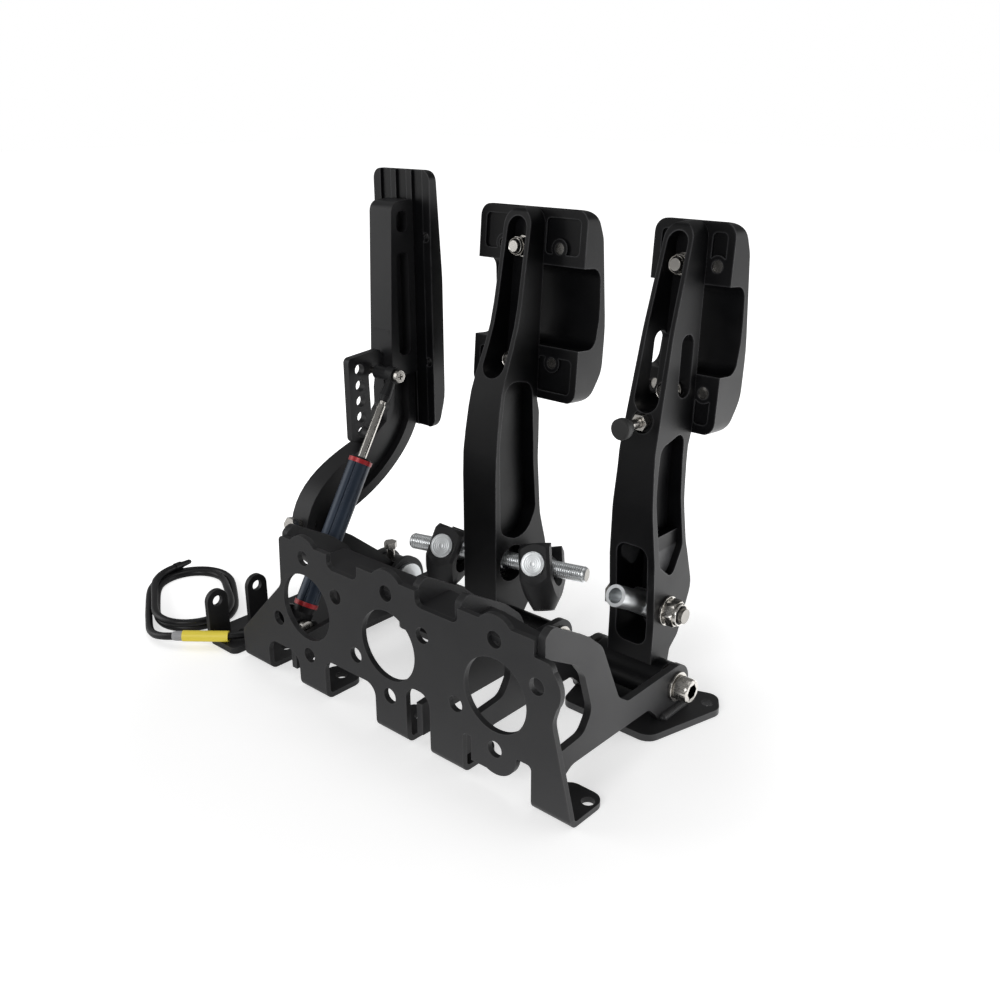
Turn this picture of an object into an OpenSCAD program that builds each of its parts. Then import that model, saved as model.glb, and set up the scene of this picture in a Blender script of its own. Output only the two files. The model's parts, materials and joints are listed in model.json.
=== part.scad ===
// Floor-mounted three-pedal box with cylinder plate, bias bar and throttle position sensor.
// Millimetres, +Z up, +X towards the clutch, +Y towards the driver.
// Origin: floor level, midway between the two outer bolt holes of the front feet.

/* [Front plate] */
// Thickness of the folded front sheet
sheet_t = 3; // [2:0.5:5]
// Height of the cylinder bores above the floor
bore_z = 51.5; // [45:0.5:60]
// Diameter of each cylinder bore
bore_d = 38; // [30:0.5:42]
// Bolt circle of a cylinder flange
cylinder_pcd = 57.15; // [50:0.05:62]
// Clearance holes for the cylinder bolts
cylinder_hole_d = 8.5; // [6:0.5:10]
// Spacing of the two brake cylinders
brake_spacing = 63.5; // [60:0.5:70]
// Distance from the inner brake cylinder to the clutch cylinder
clutch_spacing = 71; // [66:0.5:78]
// Height of the plate's top edge
plate_top = 88; // [84:0.5:94]
// Depth of the foot flanges
foot_depth = 27; // [24:0.5:32]
// Bolt holes in the feet and base plates
foot_hole_d = 6.5; // [5:0.5:9]
// Distance from the plate's face to the foot holes
foot_hole_back = 19.5; // [16:0.5:20]
// Distance from the origin to each outer foot hole
outer_hole_x = 111; // [108:0.5:114]
// Depth of the top brace behind the plate
brace_depth = 21; // [12:0.5:26]

/* [Frame] */
// Thickness of the upright side plates
side_t = 4; // [3:0.5:5]
// Thickness of the rear base plates
base_t = 4; // [3:0.5:5]
// Height of the pedal pivot above the floor
pivot_z = 17.5; // [16:0.5:20]
// Distance from the plate's face to the pedal pivot
pivot_y = 112; // [108:0.5:116]
// Pivot bolt diameter
pivot_d = 8; // [6:0.5:10]
// Radius of the side plates round the pivot
pivot_boss_r = 11.5; // [11:0.25:13]
// Clear width between the clutch side plates
clutch_bay = 46; // [44:0.5:50]
// Clear width between the brake side plates
brake_bay = 96; // [92:0.5:98]

/* [Pedals] */
// Outer radius of the clutch pivot tube
clutch_tube_r = 11; // [10:0.25:11.5]
// Outer radius of the brake pivot tube
brake_tube_r = 7.9; // [7.5:0.1:8]
// Width of the brake arm at its foot
brake_arm_w = 25; // [22:0.5:28]
// Width of the clutch arm at its foot
clutch_arm_w = 28; // [26:0.5:30]
// Width of the brake pad
brake_pad_w = 76; // [60:1:90]
// Width of the clutch pad
clutch_pad_w = 46; // [44:1:60]
// Height of the brake and clutch pads
pad_h = 104; // [100:1:110]
// Backward lean of the brake and clutch pads
pad_lean = 5; // [2:0.5:8]
// Web left between the side pockets of an arm
arm_web = 8; // [5:0.5:10]
// Pad bolt diameter
pad_bolt_d = 6; // [5:0.5:7]
// Spacing of a pad's two bolts
pad_bolt_pitch = 62; // [58:0.5:66]

/* [Bias bar] */
// Diameter of the threaded bias bar
bar_d = 9.5; // [8:0.25:10]
// Length of the bias bar
bar_len = 115; // [100:1:120]
// Height of the bias bar above the floor
bar_z = 51.5; // [49:0.5:54]
// Distance of each clevis from the middle of the bar
clevis_offset = 29.5; // [29:0.5:32]
// Diameter of the cross barrels
barrel_d = 14; // [13:0.5:15]
// Yaw of the bar as it was left, in degrees
bar_yaw = 15; // [0:1:15]
// Forward swing of the clevises as they were left, in degrees
clevis_swing = 27; // [0:1:30]

/* [Throttle] */
// Middle of the throttle arm, left of the origin
throttle_x = 112; // [110:0.5:114]
// Width of the lower throttle arm
throttle_arm_w = 14; // [12:0.5:16]
// Width of the upper throttle arm
throttle_box_w = 18; // [16:0.5:20]
// Width of the throttle pad
throttle_pad_w = 46; // [40:1:60]
// Height of the throttle pivot above the floor
throttle_pivot_z = 19; // [18:0.5:22]
// Distance from the plate's face to the throttle pivot
throttle_pivot_y = 107.5; // [105:0.5:110]
// Throttle pivot pin diameter
throttle_pin_d = 10; // [8:0.5:12]
// Diameter of the sensor body
sensor_d = 13; // [11:0.5:14]
// Diameter of the sensor rod
sensor_rod_d = 5; // [4:0.5:6]

/* [Clearances] */
// Radial clearance of running fits
running = 0.05; // [0.02:0.01:0.1]
// Gap between bodies that pass each other
gap = 0.4; // [0.3:0.05:0.6]

/* [Hidden] */
$fn = 48;

// Finishes
black_coat = "#232325";
black_anodised = "#19191b";
stainless = "#c9c6c0";
zinc = "#b9bdbf";
rubber = "#141414";

// Cylinder stations along X
cylinder_x = [-brake_spacing, 0, clutch_spacing];
cylinder_angles = [90, 270, 30, 210];
brake_x = -brake_spacing / 2;
clutch_x = clutch_spacing;
cylinder_hole_r = cylinder_pcd / 2;
lobe_r = 12.4;
low_lobe_r = 13.4;
// Feet: left edge, right edge and hole, along X
feet = [[-124, -100.5, -outer_hole_x], [-73, -51, -61.5], [-11, 12, 1.5], [28.5, 50.5, 40.5], [93, 116, outer_hole_x]];
bend_r = sheet_t + 2;
brace_z = 77;
brace_left = -58;

// Side plates: inner faces of each bay
clutch_plates = [clutch_x - clutch_bay / 2 - side_t, clutch_x + clutch_bay / 2];
brake_plates = [brake_x - brake_bay / 2 - side_t, brake_x + brake_bay / 2];
brace_right = clutch_plates[1] - 2;
base_hole_y = 128;

// Pivot fasteners
washer_t = 1.6;
washer_r = pivot_d;
cap_head_r = pivot_d * 0.8;
nut_t = 6.5;
nut_r = pivot_d * 0.93;
bush_wall = 2;
bush_flange_t = 1.5;
bush_flange_r = 9;
bush_r = pivot_d / 2 + bush_wall;

// Pad plane: foot of the pad's back
pad_y = 138.5;
pad_z = 146;
land_h = 30;
pad_web = 6;
pad_bolt_low = 21;
brake_pad_hole_x = 20;
clutch_pad_hole_x = 14.5;
pad_head_r = 5;
pad_head_t = 4;
pad_nut_r = 5.6;

// Pushrod
pushrod_y = 119;
pushrod_z = 54.5;
pushrod_tilt = 27;
coupler_len = 30;
coupler_r = 5.8;
coupler_eye_r = 7;
coupler_eye_w = 12;
pushrod_slot_w = 19;

// Bias bar bearing
bar_y = 116.5;
race_r = 11;
ball_r = 8.5;
race_w = 10;
ball_w = 12;
right_clevis_lean = 15;
left_clevis_lean = -9;
clevis_half_depth = 13.5;
clevis_half_width = 9.5;
clevis_slot = 17;
barrel_proud = 2;

// Clutch stop
stop_z = 156.5;
stop_d = 5;
stop_reach = 18;

// Throttle
tx = -throttle_x;
cheek_t = 3;
throttle_boss_r = 13;
cheek_r = 15;
throttle_pad_y = 125.5;
throttle_pad_z = [117, 267];
lever_holes = 5;
lever_pitch = 9.45;
lever_y = 85.2;
lever_low_z = 119.7;
lever_t = 4.5;
disc_r = 11;

// Sensor line, from its lower pivot to its rod end
sensor_x = -92;
sensor_low = [15, 25.6];
sensor_top = [95, 155.5];
sensor_run = norm(sensor_top - sensor_low);
sensor_tilt = atan2(sensor_top[0] - sensor_low[0], sensor_top[1] - sensor_low[1]);
sensor_eye_w = 8;
sensor_pin_d = 4;
sensor_play = 0.9;
sensor_body_from = 14;
sensor_body_to = 98;
sensor_ring_t = 2.5;

// Sensor cable: route from the sensor to the coil, in part coordinates before the origin shift
cable_d = 4.6;
cable_route = [[-92, 20.5, 21.8], [-92, 26, 17.6], [-92.5, 31.5, 13.6], [-94.5, 37, 10.4], [-98.5, 41.5, 8], [-104, 44, 6.6],
    [-111, 44, 6.4], [-117.5, 41, 6.4], [-122.5, 35.5, 6.4], [-126.5, 28, 6.4], [-130.5, 19, 6.6], [-135, 9.5, 7.1], [-140, 0, 7.4],
    [-161, -17.5, 7.4], [-167, -21.6, 6.6], [-174, -24, 5.2], [-181.5, -24.4, 3.8], [-189, -22.6, 2.8], [-197, -18.8, 2.4]];
sleeve_from = [-140, 0, 7.4];
sleeve_to = [-161, -17.5, 7.4];
sleeve_r = 3.3;
coil_at = [-209.5, 20];
coil_turn = 148;
coil_half = 50;
coil_end_r = 29;
coil_band = 10;
coil_h = 9.4;

// Corner-rounded outline: points are [x, y, radius]
function unit(v) = v / norm(v);
function flat(p) = [p[0], p[1]];
function corner(a, p, b) =
    let (u = unit(flat(a) - flat(p)), v = unit(flat(b) - flat(p)), r = p[2])
    let (half = acos(max(-1, min(1, u * v))) / 2)
    r <= 0 || half > 89 ? [flat(p)] :
    let (t = r / tan(half), c = flat(p) + unit(u + v) * r / sin(half))
    let (s = flat(p) + u * t - c, e = flat(p) + v * t - c)
    let (a0 = atan2(s[1], s[0]), turn = atan2(s[0] * e[1] - s[1] * e[0], s * e))
    let (steps = max(2, ceil(abs(turn) / 15)))
    [for (i = [0 : steps]) c + r * [cos(a0 + turn * i / steps), sin(a0 + turn * i / steps)]];
function rounded(pts) =
    let (n = len(pts))
    [for (i = [0 : n - 1]) each corner(pts[(i + n - 1) % n], pts[i], pts[(i + 1) % n])];

// Extrusions on the upright planes
module on_yz(x, t) translate([x, 0, 0]) rotate([90, 0, 90]) linear_extrude(t) children();
module on_xz(y, t) translate([0, y + t, 0]) rotate([90, 0, 0]) linear_extrude(t) children();
module along_x(x, y, z, r, l) translate([x, y, z]) rotate([0, 90, 0]) cylinder(r = r, h = l);
module along_y(x, y, z, r, l) translate([x, y, z]) rotate([-90, 0, 0]) cylinder(r = r, h = l);
module to_origin() translate([0, -foot_hole_back, 0]) children();

// Fasteners
module hex_along_x(x, y, z, r, l) translate([x, y, z]) rotate([0, 90, 0]) cylinder(r = r, h = l, $fn = 6);
module hex_along_y(x, y, z, r, l) translate([x, y, z]) rotate([-90, 0, 0]) cylinder(r = r, h = l, $fn = 6);
module ring_along_x(x, y, z, r, hole_r, l) difference() {
    along_x(x, y, z, r, l);
    along_x(x - 1, y, z, hole_r, l + 2);
}

// Front plate
module arch(x1, x2, top, r) {
    translate([x1, -1]) square([x2 - x1, top - r + 1]);
    translate([x1 + r, top - r - 0.01]) square([x2 - x1 - 2 * r, r + 0.01]);
    for (x = [x1 + r, x2 - r]) translate([x, top - r]) circle(r);
}
module notch(x1, x2, floor_z, r) {
    translate([x1, floor_z + r]) square([x2 - x1, 40]);
    translate([x1 + r, floor_z]) square([x2 - x1 - 2 * r, r + 0.01]);
    for (x = [x1 + r, x2 - r]) translate([x, floor_z + r]) circle(r);
}
module plate_outline() difference() {
    union() {
        polygon(rounded([[-83, plate_top, 3], [-84.5, 58.5, 8], [-124, 18.5, 5], [feet[0][0], bend_r, 0], [feet[4][1], bend_r, 0],
            [104.6, 50.5, 10], [108, 62, 2], [104, 79.5, 4], [94, 79.8, 1], [94, plate_top, 1]]));
        for (x = cylinder_x) translate([x, bore_z + cylinder_hole_r]) circle(lobe_r);
        translate([clutch_x, bore_z] + cylinder_hole_r * [cos(30), sin(30)]) circle(low_lobe_r);
    }
    arch(feet[0][1], feet[1][0], 20.5, 8);
    arch(feet[1][1], feet[2][0], 25, 7);
    arch(feet[2][1], feet[3][0], 34, 7);
    difference() {
        arch(feet[3][1], feet[4][0], 23.5, 2.5);
        translate([clutch_x, bore_z - cylinder_hole_r]) circle(low_lobe_r);
        translate([clutch_x - 15, 10.5]) square([15, 20]);
    }
    notch(-44, -21, sheet_t + brace_z, 4);
    notch(20.5, 48.5, sheet_t + brace_z, 4);
}
module foot(f) {
    difference() {
        translate([f[0], bend_r, bend_r]) rotate([0, 90, 0]) cylinder(r = bend_r, h = f[1] - f[0]);
        translate([f[0] - 1, bend_r, bend_r]) rotate([0, 90, 0]) cylinder(r = bend_r - sheet_t, h = f[1] - f[0] + 2);
        translate([f[0] - 1, bend_r, -1]) cube([f[1] - f[0] + 2, 3 * bend_r, 3 * bend_r]);
        translate([f[0] - 1, -1, bend_r]) cube([f[1] - f[0] + 2, 3 * bend_r, 3 * bend_r]);
    }
    linear_extrude(sheet_t) polygon(rounded([[f[0], bend_r, 0], [f[1], bend_r, 0], [f[1], foot_depth, 7], [f[0], foot_depth, 7]]));
}
module front_plate() color(black_coat) difference() {
    union() {
        on_xz(0, sheet_t) plate_outline();
        for (f = feet) foot(f);
    }
    for (x = cylinder_x) {
        along_y(x, -1, bore_z, bore_d / 2, sheet_t + 2);
        for (a = cylinder_angles)
            along_y(x + cylinder_hole_r * cos(a), -1, bore_z + cylinder_hole_r * sin(a), cylinder_hole_d / 2, sheet_t + 2);
    }
    for (f = feet) translate([f[2], foot_hole_back, -1]) cylinder(d = foot_hole_d, h = sheet_t + 2);
}
module top_brace() color(black_coat) translate([0, sheet_t, brace_z]) linear_extrude(sheet_t)
    polygon(rounded([[brace_left, 0, 0], [brace_right, 0, 0], [brace_right, brace_depth - 7, 3],
        [clutch_plates[0] + 12, brace_depth, 6], [brace_left, brace_depth, 3]]));

// Side plates: upper arm, lower bar and pivot boss cut from one sheet
module side_profile() difference() {
    union() {
        polygon(rounded([[sheet_t, 80, 0], [sheet_t, 89, 3], [8, 92.5, 4], [34, 77.5, 12], [45, 68, 10], [60, 34, 8],
            [68, 28.5, 6], [pivot_y, pivot_z + pivot_boss_r, 0], [pivot_y + pivot_boss_r, pivot_z, 0],
            [pivot_y + 9, base_t, 0], [pivot_y - 15, base_t, 0], [pivot_y - 19, 9, 3], [pivot_y - 25, 14.5, 5],
            [24, 14.5, 8], [12, 7, 3], [sheet_t, 7, 0]]));
        translate([pivot_y, pivot_z]) circle(pivot_boss_r);
    }
    polygon(rounded([[sheet_t - 1, 79.5, 0], [26, 66, 5], [32, 58, 8], [38.5, 37, 10], [32, 27, 7], [sheet_t - 1, 24.5, 0]]));
}
module side_plate(x) difference() {
    on_yz(x, side_t) side_profile();
    along_x(x - 1, pivot_y, pivot_z, pivot_d / 2 + running, side_t + 2);
    if (x > brace_left && x < brace_right) translate([x - 1, sheet_t - 1, brace_z]) cube([side_t + 2, brace_depth + 1 + gap, sheet_t]);
}
module side_plates() color(black_coat) for (x = concat(brake_plates, clutch_plates)) side_plate(x);

// Rear base plates
module ear_hole(x, y) translate([x, y, -1]) cylinder(d = foot_hole_d, h = base_t + 2);
module clutch_base_plate() color(black_coat) difference() {
    linear_extrude(base_t) polygon(rounded([[clutch_plates[0] + 4, 80, 6], [clutch_plates[1] + 9, 80, 8],
        [clutch_plates[1] + 22, 127, 7], [clutch_plates[1] + 14, 139, 7], [clutch_plates[1], 134, 10],
        [clutch_plates[0], 134, 10], [clutch_plates[0] - 4, 112, 20]]));
    ear_hole(clutch_plates[1] + 14, base_hole_y);
    ear_hole(clutch_plates[0] + 12, base_hole_y);
}
module brake_base_plate() color(black_coat) difference() {
    linear_extrude(base_t) polygon(rounded([[brake_plates[0] - 3, 84, 6], [brake_plates[1] + side_t + 3, 84, 6],
        [brake_plates[1] + side_t + 3, 134, 8], [brake_plates[0] - 3, 134, 8]]));
    ear_hole(brake_plates[0] + 14, base_hole_y);
    ear_hole(brake_plates[1] - 10, base_hole_y);
}

// Pivot bolts: socket cap screw, washers and lock nut on each pedal
pivot_bays = [brake_plates, clutch_plates];
module pivot_bolts() color(stainless) for (bay = pivot_bays) {
    right = bay[1] + side_t + washer_t;
    left = bay[0] - washer_t - nut_t - 1.5;
    along_x(left, pivot_y, pivot_z, pivot_d / 2, right - left);
    difference() {
        along_x(right, pivot_y, pivot_z, cap_head_r, pivot_d);
        hex_along_x(right + pivot_d / 2, pivot_y, pivot_z, pivot_d * 0.43, pivot_d);
    }
}
module pivot_washers() color(stainless) for (bay = pivot_bays) for (x = [bay[1] + side_t, bay[0] - washer_t])
    ring_along_x(x, pivot_y, pivot_z, washer_r, pivot_d / 2 + running, washer_t);
module pivot_nuts() color(stainless) for (bay = pivot_bays) difference() {
    hex_along_x(bay[0] - washer_t - nut_t, pivot_y, pivot_z, nut_r, nut_t);
    along_x(bay[0] - washer_t - nut_t - 1, pivot_y, pivot_z, pivot_d / 2 + running, nut_t + 2);
}

// Pedal arms: side outline crossed with a tapering front outline
module arm_blank(x, side, widths) intersection() {
    on_yz(x - 40, 80) polygon(rounded(side));
    on_xz(80, 90) translate([x, 0]) polygon(concat([for (w = widths) [w[1] / 2, w[0]]],
        [for (i = [len(widths) - 1 : -1 : 0]) [-widths[i][1] / 2, widths[i][0]]]));
}
module arm_pockets(x, web, outline) for (s = [-1, 1]) on_yz(x + (s > 0 ? web / 2 : -web / 2 - 30), 30) polygon(rounded(outline));
module on_pad(x) translate([x, pad_y, pad_z]) rotate([-pad_lean, 0, 0]) children();
module pivot_tube(bay, r) along_x(bay[0] + side_t + bush_flange_t + gap, pivot_y, pivot_z, r,
    bay[1] - bay[0] - side_t - 2 * (bush_flange_t + gap));
module tube_bore(bay) along_x(bay[0], pivot_y, pivot_z, bush_r, bay[1] - bay[0] + side_t);
module channel(w_low, w_high, z_low, z_high) on_xz(-60, 60 - pad_web) {
    polygon([[-w_low / 2, z_low + w_low / 2], [w_low / 2, z_low + w_low / 2], [w_high / 2, z_high - w_high / 2],
        [-w_high / 2, z_high - w_high / 2]]);
    translate([0, z_low + w_low / 2]) circle(d = w_low);
    translate([0, z_high - w_high / 2]) circle(d = w_high);
}
pad_bolt_rows = [pad_bolt_low, pad_bolt_low + pad_bolt_pitch];
module pad_bolt_holes() for (z = pad_bolt_rows) along_y(0, -30, z, pad_bolt_d / 2 + running, 60);

brake_side = [[106, 8, 8], [102, 26, 8], [102, 118, 150], [108, 153, 70], [124, 188, 100], [136, 250, 4], [147.5, 250, 2],
    [138.45, 145.6, 2], [140, 138, 8], [138.5, 112, 60], [141, 76, 40], [147, 54, 12], [138, 30, 12], [120, 8, 6]];
brake_pocket = [[106, 72, 9], [105.5, 124, 50], [112.5, 160, 9], [134.5, 156, 8], [134.5, 112, 60], [137, 80, 10], [127, 62, 14]];
function round_top(z, r) = [for (a = [0 : 12 : 84]) [z - r + r * sin(a), 2 * r * cos(a)]];
brake_widths = concat([[0, brake_arm_w], [120, brake_arm_w], [185, 20.5]], round_top(250, 9.5));
module brake_arm() color(black_anodised) difference() {
    union() {
        arm_blank(brake_x, brake_side, brake_widths);
        pivot_tube(brake_plates, brake_tube_r);
    }
    arm_pockets(brake_x, arm_web, brake_pocket);
    on_pad(brake_x) {
        channel(15.4, 13.4, 12, 99);
        pad_bolt_holes();
    }
    along_x(brake_x - 30, bar_y, bar_z, race_r, 60);
    tube_bore(brake_plates);
}

clutch_side = [[106, 8, 6], [107.5, 50, 40], [104, 112, 60], [106, 142, 30], [119.5, 200, 80], [135, 250, 4], [147.5, 250, 2],
    [138.6, 148, 2], [135.5, 140, 10], [132.5, 112, 60], [134.5, 88, 30], [142, 62, 14], [131, 36, 6], [124, 30, 4], [120, 8, 6]];
clutch_pocket = [[110, 82, 4], [107, 118, 50], [111, 144, 6], [132, 149, 5], [129.5, 114, 60], [131.5, 88, 6], [122, 72, 4]];
clutch_widths = concat([[0, clutch_arm_w], [84, clutch_arm_w], [132, 22], [200, 18]], round_top(250, 8.2));
module clutch_arm() color(black_anodised) difference() {
    union() {
        arm_blank(clutch_x, clutch_side, clutch_widths);
        pivot_tube(clutch_plates, clutch_tube_r);
    }
    arm_pockets(clutch_x, pushrod_slot_w + 1, clutch_pocket);
    intersection() {
        arm_pockets(clutch_x, arm_web, clutch_pocket);
        translate([clutch_x - 50, 80, 96]) cube(100);
    }
    on_pad(clutch_x) {
        channel(14, 11.6, 12, 99);
        pad_bolt_holes();
    }
    on_yz(clutch_x - 30, 60) polygon(rounded([[124, 166, 5], [127, 197, 5], [138, 197, 5], [135, 166, 5]]));
    on_xz(90, 41) translate([clutch_x, 0]) polygon(rounded([[-pushrod_slot_w / 2, 36, 6], [pushrod_slot_w / 2, 36, 6],
        [pushrod_slot_w / 2, 92, 6], [-pushrod_slot_w / 2, 92, 6]]));
    along_x(clutch_x - 30, pushrod_y, pushrod_z, pivot_d / 2 + running, 60);
    along_y(clutch_x, 90, stop_z, stop_d / 2 + running, 40);
    along_y(clutch_x, 90, stop_z, stop_d + 1, stop_face - 0.5 - 90);
    tube_bore(clutch_plates);
}
module bushes(bay) for (s = [0, 1]) {
    inner = bay[0] + side_t + gap;
    outer = bay[1] - gap;
    at = s == 0 ? inner : outer - bush_flange_t;
    sleeve = s == 0 ? inner + bush_flange_t : outer - bush_flange_t - 14;
    ring_along_x(at, pivot_y, pivot_z, bush_flange_r, pivot_d / 2 + running, bush_flange_t);
    ring_along_x(sleeve, pivot_y, pivot_z, bush_r, pivot_d / 2 + running, 14);
}
module brake_bushes() color("#b08a4a") bushes(brake_plates);
module clutch_bushes() color("#b08a4a") bushes(clutch_plates);

// Pads: curved driver face, two flat lands behind, hollow between them
pad_side = [[0, 0, 1], [12, 0, 9], [23, 17, 16], [23, pad_h * 0.4, 80], [15, pad_h - 14, 14], [8, pad_h, 7], [0, pad_h, 1]];
pad_hollow = [[-1, land_h, 0], [14, land_h, 7], [17.5, pad_h * 0.44, 60], [14.5, pad_h - land_h, 7], [-1, pad_h - land_h, 0]];
pad_corner = 7;
recess_depth = 1.6;
recess_from = 10.5;
recess_boss_r = 5.4;
module pad(w, hole_x) difference() {
    intersection() {
        on_yz(-w / 2, w) polygon(rounded(pad_side));
        on_xz(-1, 30) polygon(rounded([[-w / 2, 0, pad_corner], [w / 2, 0, pad_corner], [w / 2, pad_h, pad_corner], [-w / 2, pad_h, pad_corner]]));
    }
    on_yz(-w / 2 - 1, w + 2) polygon(rounded(pad_hollow));
    for (s = [-1, 1]) for (i = [0, 1]) on_xz(-1, 1 + recess_depth) difference() {
        scale([s, 1]) translate([0, i == 0 ? 5 : pad_h - land_h + 6]) polygon(rounded([[recess_from, 0, 2.4], [w / 2 - 4.5, 0, 2.4],
            [w / 2 - 4.5, land_h - 11, 2.4], [recess_from, land_h - 11, 2.4]]));
        translate([s * hole_x, pad_bolt_rows[i]]) circle(recess_boss_r);
    }
    for (z = pad_bolt_rows) {
        for (x = [-hole_x, hole_x]) along_y(x, -1, z, pad_bolt_d / 2 + running, 40);
        along_y(0, -1, z, pad_bolt_d / 2 + running, 40);
        along_y(0, 5, z, pad_head_r + running, 40);
    }
}
module brake_pad() color(black_anodised) on_pad(brake_x) pad(brake_pad_w, brake_pad_hole_x);
module clutch_pad() color(black_anodised) on_pad(clutch_x) pad(clutch_pad_w, clutch_pad_hole_x);
module pad_bolts(hole_x) for (z = pad_bolt_rows) {
    for (x = [-hole_x, hole_x]) along_y(x, 1, z, pad_bolt_d / 2, 12);
    along_y(0, -pad_web - 9, z, pad_bolt_d / 2, pad_web + 14);
    difference() {
        along_y(0, 5, z, pad_head_r, pad_head_t);
        hex_along_y(0, 7, z, pad_head_r * 0.55, pad_head_t);
    }
}
module pad_nuts() for (z = pad_bolt_rows) difference() {
    union() {
        along_y(0, -pad_web - 1.2, z, pad_nut_r - 0.1, 1.2);
        translate([0, -pad_web - 6.2, z]) rotate([-90, 30, 0]) cylinder(r = pad_nut_r, h = 5, $fn = 6);
        along_y(0, -pad_web - 7.6, z, pad_nut_r * 0.8, 1.5);
    }
    along_y(0, -pad_web - 8, z, pad_bolt_d / 2 + running, 9);
}
module brake_pad_bolts() color(stainless) on_pad(brake_x) pad_bolts(brake_pad_hole_x);
module brake_pad_nuts() color(stainless) on_pad(brake_x) pad_nuts();
module clutch_pad_bolts() color(stainless) on_pad(clutch_x) pad_bolts(clutch_pad_hole_x);
module clutch_pad_nuts() color(stainless) on_pad(clutch_x) pad_nuts();

// Clutch stop: screw, jam nut and rubber head
stop_face = 111;
module clutch_stop_screw() color(stainless) along_y(clutch_x, stop_face - stop_reach, stop_z, stop_d / 2, stop_reach + 10);
module clutch_stop_nut() color(stainless) difference() {
    hex_along_y(clutch_x, stop_face - 5, stop_z, stop_d * 0.9, 4.5);
    along_y(clutch_x, stop_face - 6, stop_z, stop_d / 2 + running, 7);
}
module clutch_stop_rubber() color(rubber) translate([clutch_x, stop_face - stop_reach - 3, stop_z]) rotate([-90, 0, 0]) difference() {
    rotate_extrude() polygon(rounded([[0, 0, 0], [5.4, 0, 1], [5.4, 3.4, 1], [3.8, 7, 0], [0, 7, 0]]));
    translate([0, 0, 3]) cylinder(r = stop_d / 2 + running, h = 8);
}

// Clutch pushrod joint
clutch_flank = clutch_arm_w / 2;
module pushrod_bolt() color(stainless) {
    right = clutch_x + clutch_flank + washer_t + 10;
    left = clutch_x - clutch_flank - washer_t;
    along_x(left, pushrod_y, pushrod_z, pivot_d / 2, right - left);
    hex_along_x(left - 5.3, pushrod_y, pushrod_z, nut_r, 5.3);
}
module pushrod_washers() color(stainless) for (x = [clutch_x + clutch_flank, clutch_x - clutch_flank - washer_t])
    ring_along_x(x, pushrod_y, pushrod_z, washer_r, pivot_d / 2 + running, washer_t);
module pushrod_nut() color(stainless) difference() {
    union() {
        hex_along_x(clutch_x + clutch_flank + washer_t, pushrod_y, pushrod_z, nut_r, 5.5);
        along_x(clutch_x + clutch_flank + washer_t + 5.5, pushrod_y, pushrod_z, nut_r * 0.84, 2.5);
    }
    along_x(clutch_x + clutch_flank, pushrod_y, pushrod_z, pivot_d / 2 + running, 20);
}
module pushrod_coupler() color(zinc) translate([clutch_x, pushrod_y, pushrod_z]) rotate([-pushrod_tilt, 0, 0]) difference() {
    union() {
        along_x(-coupler_eye_w / 2, 0, 0, coupler_eye_r, coupler_eye_w);
        along_y(0, -coupler_len, 0, coupler_r, coupler_len);
    }
    along_x(-coupler_eye_w, 0, 0, pivot_d / 2 + running, 2 * coupler_eye_w);
    along_y(0, -coupler_len - 1, 0, pivot_d / 2, 18);
}

// Bias bar: spherical bearing, threaded bar, cross barrels and clevises
module at_bar() translate([brake_x, bar_y, bar_z]) rotate([0, 0, bar_yaw]) children();
module at_clevis(side) at_bar() translate([side * clevis_offset, 0, 0]) rotate([-clevis_swing, 0, 0]) children();
module bias_bearing_race() color(stainless) translate([brake_x, bar_y, bar_z]) rotate([0, 90, 0]) rotate_extrude() difference() {
    translate([race_r - 6, -race_w / 2]) square([6, race_w]);
    circle(ball_r + running);
}
module bias_bearing_ball() color(zinc) at_bar() rotate([0, 90, 0]) rotate_extrude() intersection() {
    translate([bar_d / 2 + running, -ball_w / 2]) square([ball_r, ball_w]);
    circle(ball_r);
}
module bias_bar() color(zinc) at_bar() along_x(-bar_len / 2, 0, 0, bar_d / 2, bar_len);
module barrel(side) at_clevis(side) difference() {
    along_y(0, -clevis_half_depth - barrel_proud, 0, barrel_d / 2, 2 * (clevis_half_depth + barrel_proud));
    along_x(-barrel_d, 0, 0, bar_d / 2 + running, 2 * barrel_d);
}
module clevis(side, lean) at_clevis(side) rotate([0, -lean, 0]) difference() {
    intersection() {
        rotate_extrude() polygon([[0, -25.5], [6, -25.5], [6.6, -24.5], [15.5, -8], [15.5, 9], [13, 12], [0, 12]]);
        translate([-clevis_half_width, -clevis_half_depth, -30]) cube([2 * clevis_half_width, 2 * clevis_half_depth, 60]);
    }
    translate([-20, -clevis_slot / 2, -3.5]) cube([40, clevis_slot, 30]);
    along_x(-20, 0, -3.5, clevis_slot / 2, 40);
    along_y(0, -20, 0, barrel_d / 2 + running, 40);
    translate([0, 0, -30]) cylinder(r = pivot_d / 2, h = 23);
}
module left_barrel() color(zinc) barrel(-1);
module right_barrel() color(zinc) barrel(1);
module left_clevis() color(black_coat) clevis(-1, left_clevis_lean);
module right_clevis() color(black_coat) clevis(1, right_clevis_lean);

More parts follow.
